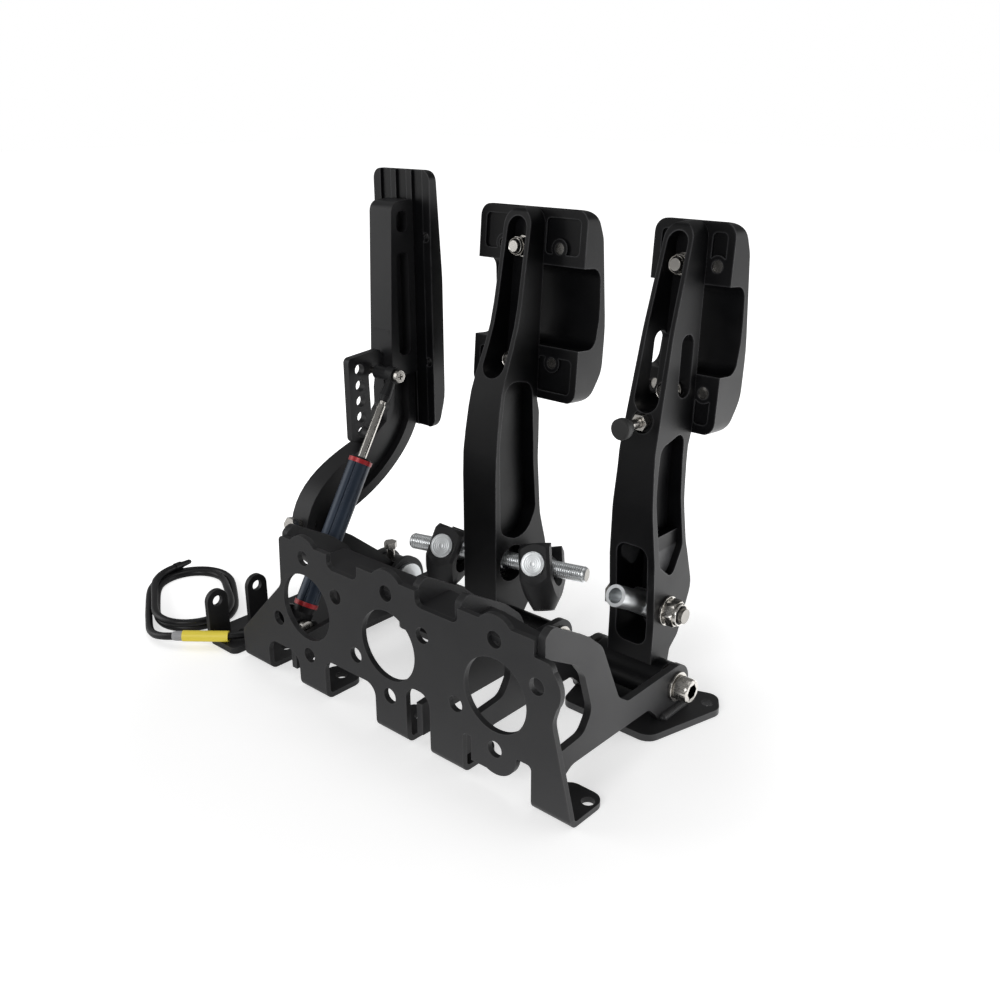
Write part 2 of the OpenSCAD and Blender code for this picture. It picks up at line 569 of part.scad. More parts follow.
// Throttle base: floor plate, two pivot cheeks and two upright tabs
arm_flank = throttle_arm_w / 2 + gap + 1;
module cheek() difference() {
    union() {
        polygon(rounded([[throttle_pivot_y - 24, base_t, 0], [throttle_pivot_y + 16, base_t, 0],
            [throttle_pivot_y + cheek_r, throttle_pivot_z, 0], [throttle_pivot_y - cheek_r, throttle_pivot_z, 4]]));
        translate([throttle_pivot_y, throttle_pivot_z]) circle(cheek_r);
    }
    translate([throttle_pivot_y - 40, -40]) square([80, 40 + base_t]);
}
module tab(y) difference() {
    union() {
        on_yz(-155, cheek_t) polygon([[y - 7, base_t], [y + 7, base_t], [y + 7, 26], [y - 7, 26]]);
        along_x(-155, y, 26, 7, cheek_t);
    }
    along_x(-156, y, 26, 3.2, cheek_t + 2);
}
module throttle_base() color(black_coat) difference() {
    union() {
        linear_extrude(base_t) polygon(rounded([[-161, 5, 4], [-153, -4, 4], [-130, -4, 4], [-130, 29, 4], [-97, 29, 4],
            [-97, 122, 8], [-110, 130, 6], [-161, 130, 8]]));
        on_yz(tx - arm_flank - cheek_t, cheek_t) cheek();
        on_yz(tx + arm_flank, cheek_t) cheek();
        tab(2.5);
        tab(31);
    }
    along_x(tx - 30, throttle_pivot_y, throttle_pivot_z, throttle_pin_d / 2 + running, 60);
    ear_hole(-150, 118);
    ear_hole(-145, 14);
}

// Throttle arm: hooked lower arm, box under the pad and a row of cable holes
function bend(a, b, c, d, n = 12) = [for (i = [0 : n]) let (t = i / n, u = 1 - t)
    u * u * u * a + 3 * u * u * t * b + 3 * u * t * t * c + t * t * t * d];
hook_side = concat([[98, 8]], bend([72, 30], [52, 38], [34.5, 50], [35, 68]), bend([35, 68], [36, 96], [62, 106], [84, 113]),
    [[100, 124], [105, 150], [105, 178], [124.6, 178]], bend([124.6, 118], [118, 104], [100, 88], [76, 79]),
    bend([76, 79], [58, 73], [58, 66], [68.5, 60.6]), [[88.7, 44.1], [101, 32], [118, 26], [118, 10], [112, 8]]);
box_side = [[104.5, 164, 3], [108.5, 250, 6], [124.6, 251, 2], [124.6, 150, 2], [106, 150, 6]];
lever_side = [[77, 165, 3], [101, 167, 2], [106, 160, 0], [106, 122, 0], [98, 121, 2], [89, 113.5, 4], [77, 115, 3]];
lever_window = [[92, 154, 1.5], [103.5, 152, 2], [103.5, 132, 4], [93, 121, 2]];
hook_pocket = concat([[109, 149], [106, 130]], bend([98, 118], [66, 105], [42, 94], [41, 68]), [[43, 59], [51, 59]],
    bend([52, 68], [52, 78], [62, 80], [74, 84]), bend([76, 85], [96, 93], [112, 107], [118.5, 122]), [[118.5, 149]]);
module throttle_arm() color(black_anodised) difference() {
    union() {
        on_yz(tx - throttle_arm_w / 2, throttle_arm_w) polygon(hook_side);
        along_x(tx - throttle_arm_w / 2, throttle_pivot_y, throttle_pivot_z, throttle_boss_r, throttle_arm_w);
        on_yz(tx - throttle_box_w / 2, throttle_box_w) polygon(rounded(box_side));
        on_yz(tx - lever_t / 2, lever_t) polygon(rounded(lever_side));
    }
    for (i = [0 : lever_holes - 1]) along_x(tx - 20, lever_y, lever_low_z + i * lever_pitch, 3.4, 40);
    on_yz(tx - 20, 40) polygon(rounded(lever_window));
    for (s = [-1, 1]) translate([tx + s * (throttle_arm_w / 2 + 5.5), 0, 0]) on_yz(-10, 20) polygon(hook_pocket);
    for (s = [-1, 1]) translate([tx + s * (throttle_box_w / 2 + 3), 0, 0]) {
        on_yz(-10, 20) polygon(rounded([[111, 162, 4], [111, 222, 4], [120.5, 222, 4], [120.5, 162, 4]]));
        on_yz(-10, 20) polygon(rounded([[112, 233, 4], [112, 245, 4], [120.5, 245, 4], [120.5, 233, 4]]));
    }
    along_x(tx - 20, throttle_pivot_y, throttle_pivot_z, throttle_pin_d / 2 + bush_wall, 40);
    along_x(tx - 20, sensor_top[0], sensor_top[1], sensor_pin_d / 2 + running, 40);
    for (z = throttle_screw_z) along_y(tx, 108, z, 2.5 + running, 40);
    throttle_stop_axis() translate([0, 0, -14]) cylinder(r = 3 + running, h = 40);
    throttle_return_axis() translate([0, 0, -10]) cylinder(r = 2.5 + running, h = 40);
}
module throttle_bushes() color("#b08a4a") for (x = [tx - throttle_arm_w / 2 - 1, tx])
    ring_along_x(x, throttle_pivot_y, throttle_pivot_z, throttle_pin_d / 2 + bush_wall, throttle_pin_d / 2 + running, throttle_arm_w / 2 + 1);
throttle_pad_side = [[throttle_pad_y - 0.5, throttle_pad_z[0], 1], [throttle_pad_y + 3, throttle_pad_z[0], 2],
    [throttle_pad_y + 8.5, throttle_pad_z[0] + 18, 30], [throttle_pad_y + 8.5, throttle_pad_z[1] - 60, 120],
    [throttle_pad_y + 4.5, throttle_pad_z[1], 2], [throttle_pad_y - 0.5, throttle_pad_z[1], 1]];
throttle_screw_z = [157.5, 230];
groove_pitch = 12.8;
groove_w = 8.4;
module throttle_pad() color(black_anodised) difference() {
    intersection() {
        on_yz(tx - throttle_pad_w / 2, throttle_pad_w) polygon(rounded(throttle_pad_side));
        on_xz(100, 60) polygon(rounded([[tx - throttle_pad_w / 2, throttle_pad_z[0], 6], [tx + throttle_pad_w / 2, throttle_pad_z[0], 6],
            [tx + throttle_pad_w / 2, throttle_pad_z[1], 6], [tx - throttle_pad_w / 2, throttle_pad_z[1], 6]]));
    }
    for (i = [-1 : 1]) translate([tx + i * groove_pitch - groove_w / 2, throttle_pad_y - 2.5, throttle_pad_z[0] - 1])
        cube([groove_w, 3.4, throttle_pad_z[1] - throttle_pad_z[0] + 2]);
    for (z = throttle_screw_z) {
        along_y(tx, 108, z, 2.5 + running, 60);
        along_y(tx, throttle_pad_y + 4, z, 4.6, 40);
        along_y(tx + 19, 108, z, 2.6, 60);
        along_y(tx - 19, 108, z, 2.6, 60);
    }
}
module throttle_pad_screws() color(stainless) for (z = throttle_screw_z) {
    along_y(tx, throttle_pad_y - 14, z, 2.5, 19);
    difference() {
        along_y(tx, throttle_pad_y + 4, z, 4.5, 3);
        hex_along_y(tx, throttle_pad_y + 5.5, z, 2.4, 3);
    }
}
// Stop screws: hex heads on threaded shanks
module hex_screw(r, shank, head_r, head_t) {
    translate([0, 0, -shank]) cylinder(r = r, h = shank + 0.01);
    cylinder(r = head_r, h = head_t, $fn = 6);
}
module throttle_stop_axis() translate([tx, 32.5, 76]) rotate([78, 0, 0]) children();
module throttle_return_axis() translate([tx, 105.5, 38.5]) children();
module throttle_stop_screw() color(stainless) throttle_stop_axis() hex_screw(3, 13, 4.9, 4);
module throttle_return_screw() color(stainless) throttle_return_axis() hex_screw(2.5, 9, 4.2, 4);

// Throttle pivot pin with its broad head, nut and return spring
pin_right = tx + arm_flank + cheek_t;
pin_left = tx - arm_flank - cheek_t;
spring_wire = 2.4;
spring_coils = 5;
module throttle_pin() color(zinc) {
    along_x(pin_left - 28, throttle_pivot_y, throttle_pivot_z, throttle_pin_d / 2, pin_right - pin_left + 29);
    along_x(pin_right, throttle_pivot_y, throttle_pivot_z, disc_r, 2.5);
}
module throttle_pin_nut() color(zinc) difference() {
    hex_along_x(pin_left - 26, throttle_pivot_y, throttle_pivot_z, throttle_pin_d * 0.95, 8);
    along_x(pin_left - 30, throttle_pivot_y, throttle_pivot_z, throttle_pin_d / 2 + running, 20);
}
module throttle_spring() color("#4a3a2c") {
    for (i = [0 : spring_coils - 1]) translate([pin_left - 2 - spring_wire / 2 - i * spring_wire * 0.97, throttle_pivot_y, throttle_pivot_z])
        rotate([0, 90, 0]) rotate_extrude() translate([throttle_pin_d / 2 + running + spring_wire / 2, 0]) circle(d = spring_wire);
    along_y(pin_left - 2 - spring_wire / 2, throttle_pivot_y - 30, throttle_pivot_z - throttle_pin_d / 2 - running - spring_wire / 2, spring_wire / 2, 30);
}

// Throttle position sensor: lower bracket, body with rings, sliding rod and rod end
module on_sensor() translate([sensor_x, sensor_low[0], sensor_low[1]]) rotate([-sensor_tilt, 0, 0]) children();
bracket_x = sensor_x - sensor_d / 2 - 2 * gap - cheek_t;
module sensor_bracket() color(black_coat) difference() {
    union() {
        on_yz(bracket_x, cheek_t) polygon(rounded([[sheet_t, 20, 0], [22, 20, 5], [22, 33, 5], [12, 38, 4], [sheet_t, 38, 0]]));
        on_xz(sheet_t, cheek_t) polygon([[bracket_x, 26], [bracket_x + cheek_t, 26], [bracket_x + cheek_t, 38], [bracket_x, 38]]);
    }
    along_x(bracket_x - 1, sensor_low[0], sensor_low[1], sensor_pin_d / 2 + running, cheek_t + 2);
}
module sensor_lower_bolt() color(stainless) {
    along_x(bracket_x - 4, sensor_low[0], sensor_low[1], sensor_pin_d / 2, sensor_x + sensor_eye_w / 2 + gap - bracket_x + 4);
    along_x(sensor_x + sensor_eye_w / 2 + gap, sensor_low[0], sensor_low[1], 4.5, 3.4);
    along_x(bracket_x + cheek_t, sensor_low[0], sensor_low[1], 4, sensor_x - sensor_eye_w / 2 - gap - bracket_x - cheek_t);
    hex_along_x(bracket_x - 3.5, sensor_low[0], sensor_low[1], 4.6, 3.5);
}
module sensor_lower_cap() color("#18181a") on_sensor() difference() {
    union() {
        along_x(-sensor_eye_w / 2, 0, 0, 6, sensor_eye_w);
        translate([-sensor_eye_w / 2, -4.5, 0]) cube([sensor_eye_w, 9, 9]);
        translate([0, 0, 8]) cylinder(r = sensor_d / 2 - 0.5, h = sensor_body_from - sensor_ring_t - 8);
    }
    along_x(-10, 0, 0, sensor_pin_d / 2 + running, 20);
}
module sensor_body() color("#22303f") on_sensor() difference() {
    translate([0, 0, sensor_body_from]) cylinder(r = sensor_d / 2, h = sensor_body_to - sensor_body_from);
    for (a = [0 : 60 : 300]) rotate([0, 0, a]) translate([sensor_d / 2, 0, sensor_body_from - 1]) cylinder(r = 0.8, h = 90);
    translate([0, 0, sensor_body_from + 6]) cylinder(r = sensor_rod_d / 2 + running, h = 100);
}
module sensor_ring(z) translate([0, 0, z]) difference() {
    cylinder(r = sensor_d / 2 + 0.4, h = sensor_ring_t);
    translate([0, 0, -1]) cylinder(r = sensor_rod_d / 2 + running, h = sensor_ring_t + 2);
}
module sensor_rings() color("#b3202a") on_sensor() {
    sensor_ring(sensor_body_from - sensor_ring_t);
    sensor_ring(sensor_body_to);
}
module sensor_nose() color("#18181a") on_sensor() translate([0, 0, sensor_body_to + sensor_ring_t]) difference() {
    cylinder(r1 = sensor_d / 2 - 0.3, r2 = sensor_d / 2 - 1, h = 1.2);
    translate([0, 0, -1]) cylinder(r = sensor_rod_d / 2 + running, h = 8);
}
rod_end_from = sensor_run - 13;
module sensor_rod() color(stainless) on_sensor() translate([0, 0, 60]) cylinder(d = sensor_rod_d, h = rod_end_from - 60);
module sensor_rod_collar() color(stainless) on_sensor() translate([0, 0, rod_end_from - 5]) difference() {
    cylinder(r = 3.5, h = 5);
    translate([0, 0, -1]) cylinder(r = sensor_rod_d / 2, h = 7);
}
module sensor_rod_end() color(rubber) on_sensor() difference() {
    union() {
        along_x(-3, 0, sensor_run, 4.7, 6);
        translate([0, 0, rod_end_from]) cylinder(r1 = 3.5, r2 = 2.8, h = 9.6);
    }
    along_x(-10, 0, sensor_run, sensor_pin_d / 2 + sensor_play, 20);
}
screw_left = tx + throttle_arm_w / 2 - 8;
module sensor_top_screw() color(stainless) {
    along_x(screw_left, sensor_top[0], sensor_top[1], sensor_pin_d / 2, sensor_x + 3 + gap - screw_left);
    along_x(tx + throttle_arm_w / 2, sensor_top[0], sensor_top[1], 3.4, sensor_x - 3 - gap - tx - throttle_arm_w / 2);
    difference() {
        along_x(sensor_x + 3 + gap, sensor_top[0], sensor_top[1], 3.6, 2.8);
        translate([sensor_x + 3 + gap + 1.8, sensor_top[0], sensor_top[1]]) for (a = [0, 90]) rotate([a, 0, 0]) translate([0, -1.8, -0.4]) cube([4, 3.6, 0.8]);
    }
}

// Cable: swept tube along its route, then one flat coil on the floor
cable_sides = 8;
function run_dir(i) = unit(cable_route[min(i + 1, len(cable_route) - 1)] - cable_route[max(i - 1, 0)]);
function side_dir(d) = unit(cross(d, [0, 0, 1]));
function ring_at(i) = let (d = run_dir(i), s = side_dir(d), u = cross(s, d))
    [for (k = [0 : cable_sides - 1]) cable_route[i] + cable_d / 2 * (s * cos(k * 360 / cable_sides) + u * sin(k * 360 / cable_sides))];
module sensor_cable() color(rubber) {
    rings = len(cable_route);
    polyhedron(points = [for (i = [0 : rings - 1]) each ring_at(i)],
        faces = concat([[for (k = [0 : cable_sides - 1]) k]],
            [for (i = [0 : rings - 2]) for (k = [0 : cable_sides - 1]) let (n = (k + 1) % cable_sides)
                [i * cable_sides + n, i * cable_sides + k, (i + 1) * cable_sides + k, (i + 1) * cable_sides + n]],
            [[for (k = [cable_sides - 1 : -1 : 0]) (rings - 1) * cable_sides + k]]));
}
module oval(half, r) {
    for (s = [-1, 1]) translate([s * (half - r), 0]) circle(r);
    square([2 * (half - r), 2 * r], center = true);
}
module cable_coil() color(rubber) translate([coil_at[0], coil_at[1], 0]) rotate([0, 0, coil_turn]) linear_extrude(coil_h) difference() {
    oval(coil_half, coil_end_r);
    oval(coil_half - coil_band, coil_end_r - coil_band);
}
module cable_sleeve() color("#f2cf1d") translate(sleeve_from) rotate([0, 90, atan2(sleeve_to[1] - sleeve_from[1], sleeve_to[0] - sleeve_from[0])]) difference() {
    cylinder(r = sleeve_r, h = norm(sleeve_to - sleeve_from));
    translate([0, 0, -1]) cylinder(r = cable_d / 2 + running, h = norm(sleeve_to - sleeve_from) + 2);
}

to_origin() front_plate();
to_origin() top_brace();
to_origin() side_plates();
to_origin() clutch_base_plate();
to_origin() brake_base_plate();
to_origin() throttle_base();
to_origin() pivot_bolts();
to_origin() pivot_washers();
to_origin() pivot_nuts();
to_origin() clutch_arm();
to_origin() clutch_bushes();
to_origin() clutch_pad();
to_origin() clutch_pad_bolts();
to_origin() clutch_pad_nuts();
to_origin() clutch_stop_screw();
to_origin() clutch_stop_nut();
to_origin() clutch_stop_rubber();
to_origin() pushrod_bolt();
to_origin() pushrod_washers();
to_origin() pushrod_nut();
to_origin() pushrod_coupler();
to_origin() brake_arm();
to_origin() brake_bushes();
to_origin() brake_pad();
to_origin() brake_pad_bolts();
to_origin() brake_pad_nuts();
to_origin() bias_bearing_race();
to_origin() bias_bearing_ball();
to_origin() bias_bar();
to_origin() left_barrel();
to_origin() right_barrel();
to_origin() left_clevis();
to_origin() right_clevis();
to_origin() throttle_arm();
to_origin() throttle_bushes();
to_origin() throttle_pad();
to_origin() throttle_pad_screws();
to_origin() throttle_stop_screw();
to_origin() throttle_return_screw();
to_origin() throttle_pin();
to_origin() throttle_pin_nut();
to_origin() throttle_spring();
to_origin() sensor_bracket();
to_origin() sensor_lower_bolt();
to_origin() sensor_lower_cap();
to_origin() sensor_body();
to_origin() sensor_rings();
to_origin() sensor_nose();
to_origin() sensor_rod();
to_origin() sensor_rod_collar();
to_origin() sensor_rod_end();
to_origin() sensor_top_screw();
to_origin() sensor_cable();
to_origin() cable_coil();
to_origin() cable_sleeve();
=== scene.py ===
"""Three-pedal floor box: finishes, threads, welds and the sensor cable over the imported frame."""
import json
import math

import bmesh
import bpy
from mathutils import Matrix, Vector


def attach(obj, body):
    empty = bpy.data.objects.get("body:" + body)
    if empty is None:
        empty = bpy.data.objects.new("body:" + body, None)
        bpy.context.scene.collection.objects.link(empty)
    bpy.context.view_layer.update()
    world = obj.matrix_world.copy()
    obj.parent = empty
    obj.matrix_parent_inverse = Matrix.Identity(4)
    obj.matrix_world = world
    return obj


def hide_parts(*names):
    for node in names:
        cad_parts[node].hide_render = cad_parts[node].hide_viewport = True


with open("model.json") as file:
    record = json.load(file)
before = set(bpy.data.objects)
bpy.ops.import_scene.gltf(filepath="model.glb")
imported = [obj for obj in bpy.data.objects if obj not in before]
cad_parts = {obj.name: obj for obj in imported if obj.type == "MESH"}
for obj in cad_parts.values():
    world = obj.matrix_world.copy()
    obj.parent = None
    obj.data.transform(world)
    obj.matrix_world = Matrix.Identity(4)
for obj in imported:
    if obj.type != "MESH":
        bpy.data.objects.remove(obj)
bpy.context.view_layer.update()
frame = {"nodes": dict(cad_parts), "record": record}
cad_nodes = frame["nodes"]
scene = bpy.context.scene
MM = 0.001
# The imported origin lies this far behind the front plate's face, in millimetres
ORIGIN_BACK = 19.5
X_AXIS = (1.0, 0.0, 0.0)
WHITE = (1.0, 1.0, 1.0, 1.0)


def mm(x, y, z):
    """A point given in millimetres from the front plate's face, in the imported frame."""
    return Vector((x, y - ORIGIN_BACK, z)) * MM


# Camera at the photograph's viewing angle
VIEW_AZIMUTH = math.radians(41.664)
VIEW_ELEVATION = math.radians(20.798)
VIEW_ROLL = math.radians(-0.139)
CAMERA_AT = Vector((353.495, -332.786, 306.702)) * MM
LENS = 38.48
FILM_WIDTH = 36.0
NEAREST_SEEN = 0.01


def place_camera():
    data = bpy.data.cameras.new("camera")
    data.lens = LENS
    data.sensor_width = FILM_WIDTH
    data.clip_start = NEAREST_SEEN
    camera = bpy.data.objects.new("camera", data)
    scene.collection.objects.link(camera)
    a, e = VIEW_AZIMUTH, VIEW_ELEVATION
    back = Vector((math.sin(a) * math.cos(e), -math.cos(a) * math.cos(e), math.sin(e)))
    right = Vector((math.cos(a), math.sin(a), 0.0))
    up = back.cross(right)
    turn = Matrix((right, up, back)).transposed().to_4x4()
    camera.matrix_world = Matrix.Translation(CAMERA_AT) @ turn @ Matrix.Rotation(VIEW_ROLL, 4, "Z")
    scene.camera = camera


place_camera()


# Shader groups
FLOAT = "NodeSocketFloat"
# Places of a Mix node's sockets, for colours and for plain values
MIX_FACTOR = 0
MIX_COLOUR_A = 6
MIX_COLOUR_B = 7
MIX_COLOUR_OUT = 2
MIX_VALUE_A = 2
MIX_VALUE_B = 3
MIX_VALUE_OUT = 0


def set_values(node, values):
    for socket, value in values.items():
        node.inputs[socket].default_value = value


def new_group(name, inputs, outputs):
    tree = bpy.data.node_groups.new(name, "ShaderNodeTree")
    for label, kind, value in inputs:
        socket = tree.interface.new_socket(label, in_out="INPUT", socket_type=kind)
        socket.default_value = value
    for label, kind in outputs:
        tree.interface.new_socket(label, in_out="OUTPUT", socket_type=kind)
    start = tree.nodes.new("NodeGroupInput")
    end = tree.nodes.new("NodeGroupOutput")
    return tree, start, end


def object_noise(tree, start, values, mapping=None):
    """Noise on Object coordinates at the group's own Scale, drawn out where a mapping is given."""
    coords = tree.nodes.new("ShaderNodeTexCoord")
    place = coords.outputs["Object"]
    if mapping:
        tree.links.new(place, mapping.inputs["Vector"])
        place = mapping.outputs["Vector"]
    noise = tree.nodes.new("ShaderNodeTexNoise")
    set_values(noise, values)
    tree.links.new(place, noise.inputs["Vector"])
    tree.links.new(start.outputs["Scale"], noise.inputs["Scale"])
    return noise


def map_range(tree, source, values):
    ramp = tree.nodes.new("ShaderNodeMapRange")
    set_values(ramp, values)
    tree.links.new(source, ramp.inputs["Value"])
    return ramp.outputs["Result"]


def build_grain():
    """Even fine grain over the whole surface, for powder coat and moulded plastic."""
    tree, start, end = new_group("grain", [("Scale", FLOAT, 2500.0)], [("Height", FLOAT)])
    noise = object_noise(tree, start, {"Detail": 3.0, "Roughness": 0.6})
    tree.links.new(noise.outputs["Fac"], end.inputs["Height"])
    return tree


def build_handling():
    """Broad uneven patches left by handling, from 0 to 1."""
    tree, start, end = new_group("handling", [("Scale", FLOAT, 40.0)], [("Mask", FLOAT)])
    noise = object_noise(tree, start, {"Detail": 6.0, "Distortion": 0.6})
    patches = map_range(tree, noise.outputs["Fac"], {"From Min": 0.35, "From Max": 0.7})
    tree.links.new(patches, end.inputs["Mask"])
    return tree


def build_tool_marks():
    """Fine marks drawn out along one direction, for turned and milled metal."""
    inputs = [("Stretch", "NodeSocketVector", (1.0, 1.0, 1.0)), ("Scale", FLOAT, 900.0)]
    tree, start, end = new_group("tool marks", inputs, [("Height", FLOAT)])
    mapping = tree.nodes.new("ShaderNodeMapping")
    tree.links.new(start.outputs["Stretch"], mapping.inputs["Scale"])
    noise = object_noise(tree, start, {"Detail": 2.0}, mapping)
    tree.links.new(noise.outputs["Fac"], end.inputs["Height"])
    return tree


EDGE_SAMPLES = 6


def build_edge_highlight_and_wear():
    """Painted highlight and wear on outer edges within a width of the corner, broken up where the finish has
    held, from 0 to 1.
    """
    inputs = [("Width", FLOAT, 0.0012), ("Scale", FLOAT, 90.0)]
    tree, start, end = new_group("painted edge highlight and wear", inputs, [("Mask", FLOAT)])
    inside = tree.nodes.new("ShaderNodeAmbientOcclusion")
    inside.inside = True
    inside.only_local = True
    inside.samples = EDGE_SAMPLES
    tree.links.new(start.outputs["Width"], inside.inputs["Distance"])
    corner = {"From Min": 0.5, "From Max": 0.86, "To Min": 1.0, "To Max": 0.0}
    edge = map_range(tree, inside.outputs["AO"], corner)
    noise = object_noise(tree, start, {"Detail": 4.0})
    held = map_range(tree, noise.outputs["Fac"], {"From Min": 0.3, "From Max": 0.6, "To Min": 0.45})
    both = tree.nodes.new("ShaderNodeMath")
    both.operation = "MULTIPLY"
    tree.links.new(edge, both.inputs[0])
    tree.links.new(held, both.inputs[1])
    tree.links.new(both.outputs["Value"], end.inputs["Mask"])
    return tree


GRAIN = build_grain()
HANDLING = build_handling()
TOOL_MARKS = build_tool_marks()
EDGE_HIGHLIGHT_AND_WEAR = build_edge_highlight_and_wear()


def place_group(tree, group, values):
    node = tree.nodes.new("ShaderNodeGroup")
    node.node_tree = group
    set_values(node, values)
    return node


def finish_material(name, dark, light, rough, metallic=0.0, relief=GRAIN, relief_scale=2500.0, stretch=None,
                    bump=0.1, depth=0.00008, patch_scale=40.0, specular=0.5, edge_highlight_and_wear=None, edge_width=0.0012):
    """A principled surface whose colour and roughness follow the handling mask, with fine relief, and with a
    painted edge highlight and wear where an edge colour is given.
    """
    material = bpy.data.materials.new(name)
    material.use_nodes = True
    tree = material.node_tree
    shader = tree.nodes["Principled BSDF"]
    set_values(shader, {"Metallic": metallic, "Specular IOR Level": specular})
    patches = place_group(tree, HANDLING, {"Scale": patch_scale})
    colour = tree.nodes.new("ShaderNodeMix")
    colour.data_type = "RGBA"
    set_values(colour, {MIX_COLOUR_A: (*dark, 1.0), MIX_COLOUR_B: (*light, 1.0)})
    tree.links.new(patches.outputs["Mask"], colour.inputs[MIX_FACTOR])
    shown = colour
    # The lighter edge colour paints a highlight along outer edges, and stands for wear as well
    if edge_highlight_and_wear:
        edges = place_group(tree, EDGE_HIGHLIGHT_AND_WEAR, {"Width": edge_width})
        shown = tree.nodes.new("ShaderNodeMix")
        shown.data_type = "RGBA"
        set_values(shown, {MIX_COLOUR_B: (*edge_highlight_and_wear, 1.0)})
        tree.links.new(edges.outputs["Mask"], shown.inputs[MIX_FACTOR])
        tree.links.new(colour.outputs[MIX_COLOUR_OUT], shown.inputs[MIX_COLOUR_A])
    tree.links.new(shown.outputs[MIX_COLOUR_OUT], shader.inputs["Base Color"])
    gloss = map_range(tree, patches.outputs["Mask"], {"To Min": rough[0], "To Max": rough[1]})
    tree.links.new(gloss, shader.inputs["Roughness"])
    texture = place_group(tree, relief, {"Scale": relief_scale})
    if stretch:
        set_values(texture, {"Stretch": stretch})
    raised = tree.nodes.new("ShaderNodeBump")
    set_values(raised, {"Strength": bump, "Distance": depth})
    tree.links.new(texture.outputs["Height"], raised.inputs["Height"])
    tree.links.new(raised.outputs["Normal"], shader.inputs["Normal"])
    return material


# Powder coat and black anodise take a lighter edge colour: a painted edge highlight, also standing for wear
powder_coat = finish_material(
    "powder coat", (0.014, 0.014, 0.015), (0.021, 0.021, 0.022), (0.44, 0.54), relief_scale=2600.0, bump=0.35,
    depth=0.00012, specular=0.28, edge_highlight_and_wear=(0.036, 0.036, 0.037), edge_width=0.0009)
anodised_black = finish_material(
    "black anodise", (0.0018, 0.0018, 0.0022), (0.003, 0.003, 0.0036), (0.36, 0.44), relief=TOOL_MARKS,
    relief_scale=700.0, stretch=(1.0, 1.0, 0.15), bump=0.12, specular=0.18, edge_highlight_and_wear=(0.055, 0.055, 0.058),
    edge_width=0.001)
lever_coat = finish_material(
    "throttle lever coat", (0.011, 0.011, 0.012), (0.016, 0.016, 0.017), (0.38, 0.46), relief_scale=1600.0,
    bump=0.2, depth=0.0001, specular=0.25)
bright_steel = finish_material(
    "stainless steel", (0.44, 0.425, 0.40), (0.50, 0.48, 0.45), (0.22, 0.30), metallic=1.0, relief=TOOL_MARKS,
    relief_scale=1500.0, stretch=(1.0, 0.2, 0.2), bump=0.05, depth=0.00004, patch_scale=160.0)
dull_steel = finish_material(
    "dull steel", (0.22, 0.21, 0.195), (0.28, 0.27, 0.25), (0.34, 0.42), metallic=1.0, relief=TOOL_MARKS,
    relief_scale=1500.0, bump=0.05, depth=0.00004, patch_scale=160.0)
zinc_plate = finish_material(
    "zinc plate", (0.66, 0.68, 0.69), (0.73, 0.75, 0.76), (0.32, 0.42), metallic=1.0, relief=TOOL_MARKS,
    relief_scale=1200.0, stretch=(1.0, 0.3, 0.3), bump=0.05, depth=0.00004, patch_scale=120.0)
bush_bronze = finish_material(
    "bush bronze", (0.35, 0.22, 0.09), (0.45, 0.30, 0.13), (0.30, 0.42), metallic=1.0, relief=TOOL_MARKS,
    relief_scale=1500.0, bump=0.15)
spring_wire = finish_material(
    "spring wire", (0.05, 0.035, 0.028), (0.10, 0.07, 0.05), (0.30, 0.45), metallic=1.0, relief=TOOL_MARKS,
    relief_scale=1500.0, bump=0.15)
stop_rubber = finish_material(
    "stop rubber", (0.008, 0.008, 0.008), (0.014, 0.014, 0.014), (0.6, 0.75), relief_scale=1800.0, bump=0.3)
sensor_blue = finish_material(
    "sensor blue anodise", (0.014, 0.024, 0.042), (0.022, 0.036, 0.060), (0.34, 0.42), metallic=0.3,
    relief=TOOL_MARKS, relief_scale=900.0, stretch=(1.0, 1.0, 0.2), bump=0.1)
sensor_red = finish_material(
    "sensor red anodise", (0.34, 0.010, 0.014), (0.45, 0.016, 0.022), (0.32, 0.4), metallic=0.2,
    relief_scale=2000.0, bump=0.1)
moulded_black = finish_material(
    "moulded black", (0.006, 0.006, 0.007), (0.010, 0.010, 0.011), (0.42, 0.52), relief_scale=3200.0,
    bump=0.25, specular=0.25)
cable_jacket = finish_material(
    "cable jacket", (0.006, 0.006, 0.007), (0.011, 0.011, 0.012), (0.36, 0.46), relief_scale=2200.0,
    bump=0.12, specular=0.3)
sleeve_yellow = finish_material(
    "sleeve yellow", (0.92, 0.74, 0.06), (0.96, 0.80, 0.09), (0.4, 0.5), relief_scale=1500.0, bump=0.08)
shrink_grey = finish_material(
    "shrink grey", (0.30, 0.30, 0.31), (0.38, 0.38, 0.39), (0.45, 0.55), relief_scale=1500.0, bump=0.08)

SLOT_FINISH = {
    "black_coat": powder_coat,
    "black_anodised": anodised_black,
    "stainless": bright_steel,
    "zinc": zinc_plate,
    "bronze": bush_bronze,
    "spring_steel": spring_wire,
    "stop_rubber": stop_rubber,
    "sensor_blue": sensor_blue,
    "sensor_red": sensor_red,
    "sensor_black": moulded_black,
    "cable_black": cable_jacket,
    "sleeve_yellow": sleeve_yellow,
}
# Solids whose finish differs from the rest of their slot
OWN_FINISH = {"throttle_arm": lever_coat, "pushrod_bolt": dull_steel}
# Rounding of the edges of each solid, in millimetres
EDGE_ROUND = {"black_coat": 0.45, "black_anodised": 0.6, "stainless": 0.25, "zinc": 0.25, "sensor_black": 0.3}
EDGE_STEPS = 2
SHARP_ANGLE = math.radians(32)
SMOOTH_ANGLE = math.radians(30)
# Points closer than these are one point, in metres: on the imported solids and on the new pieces
SOLID_WELD = 0.000002
SAME_POINT = 1e-7


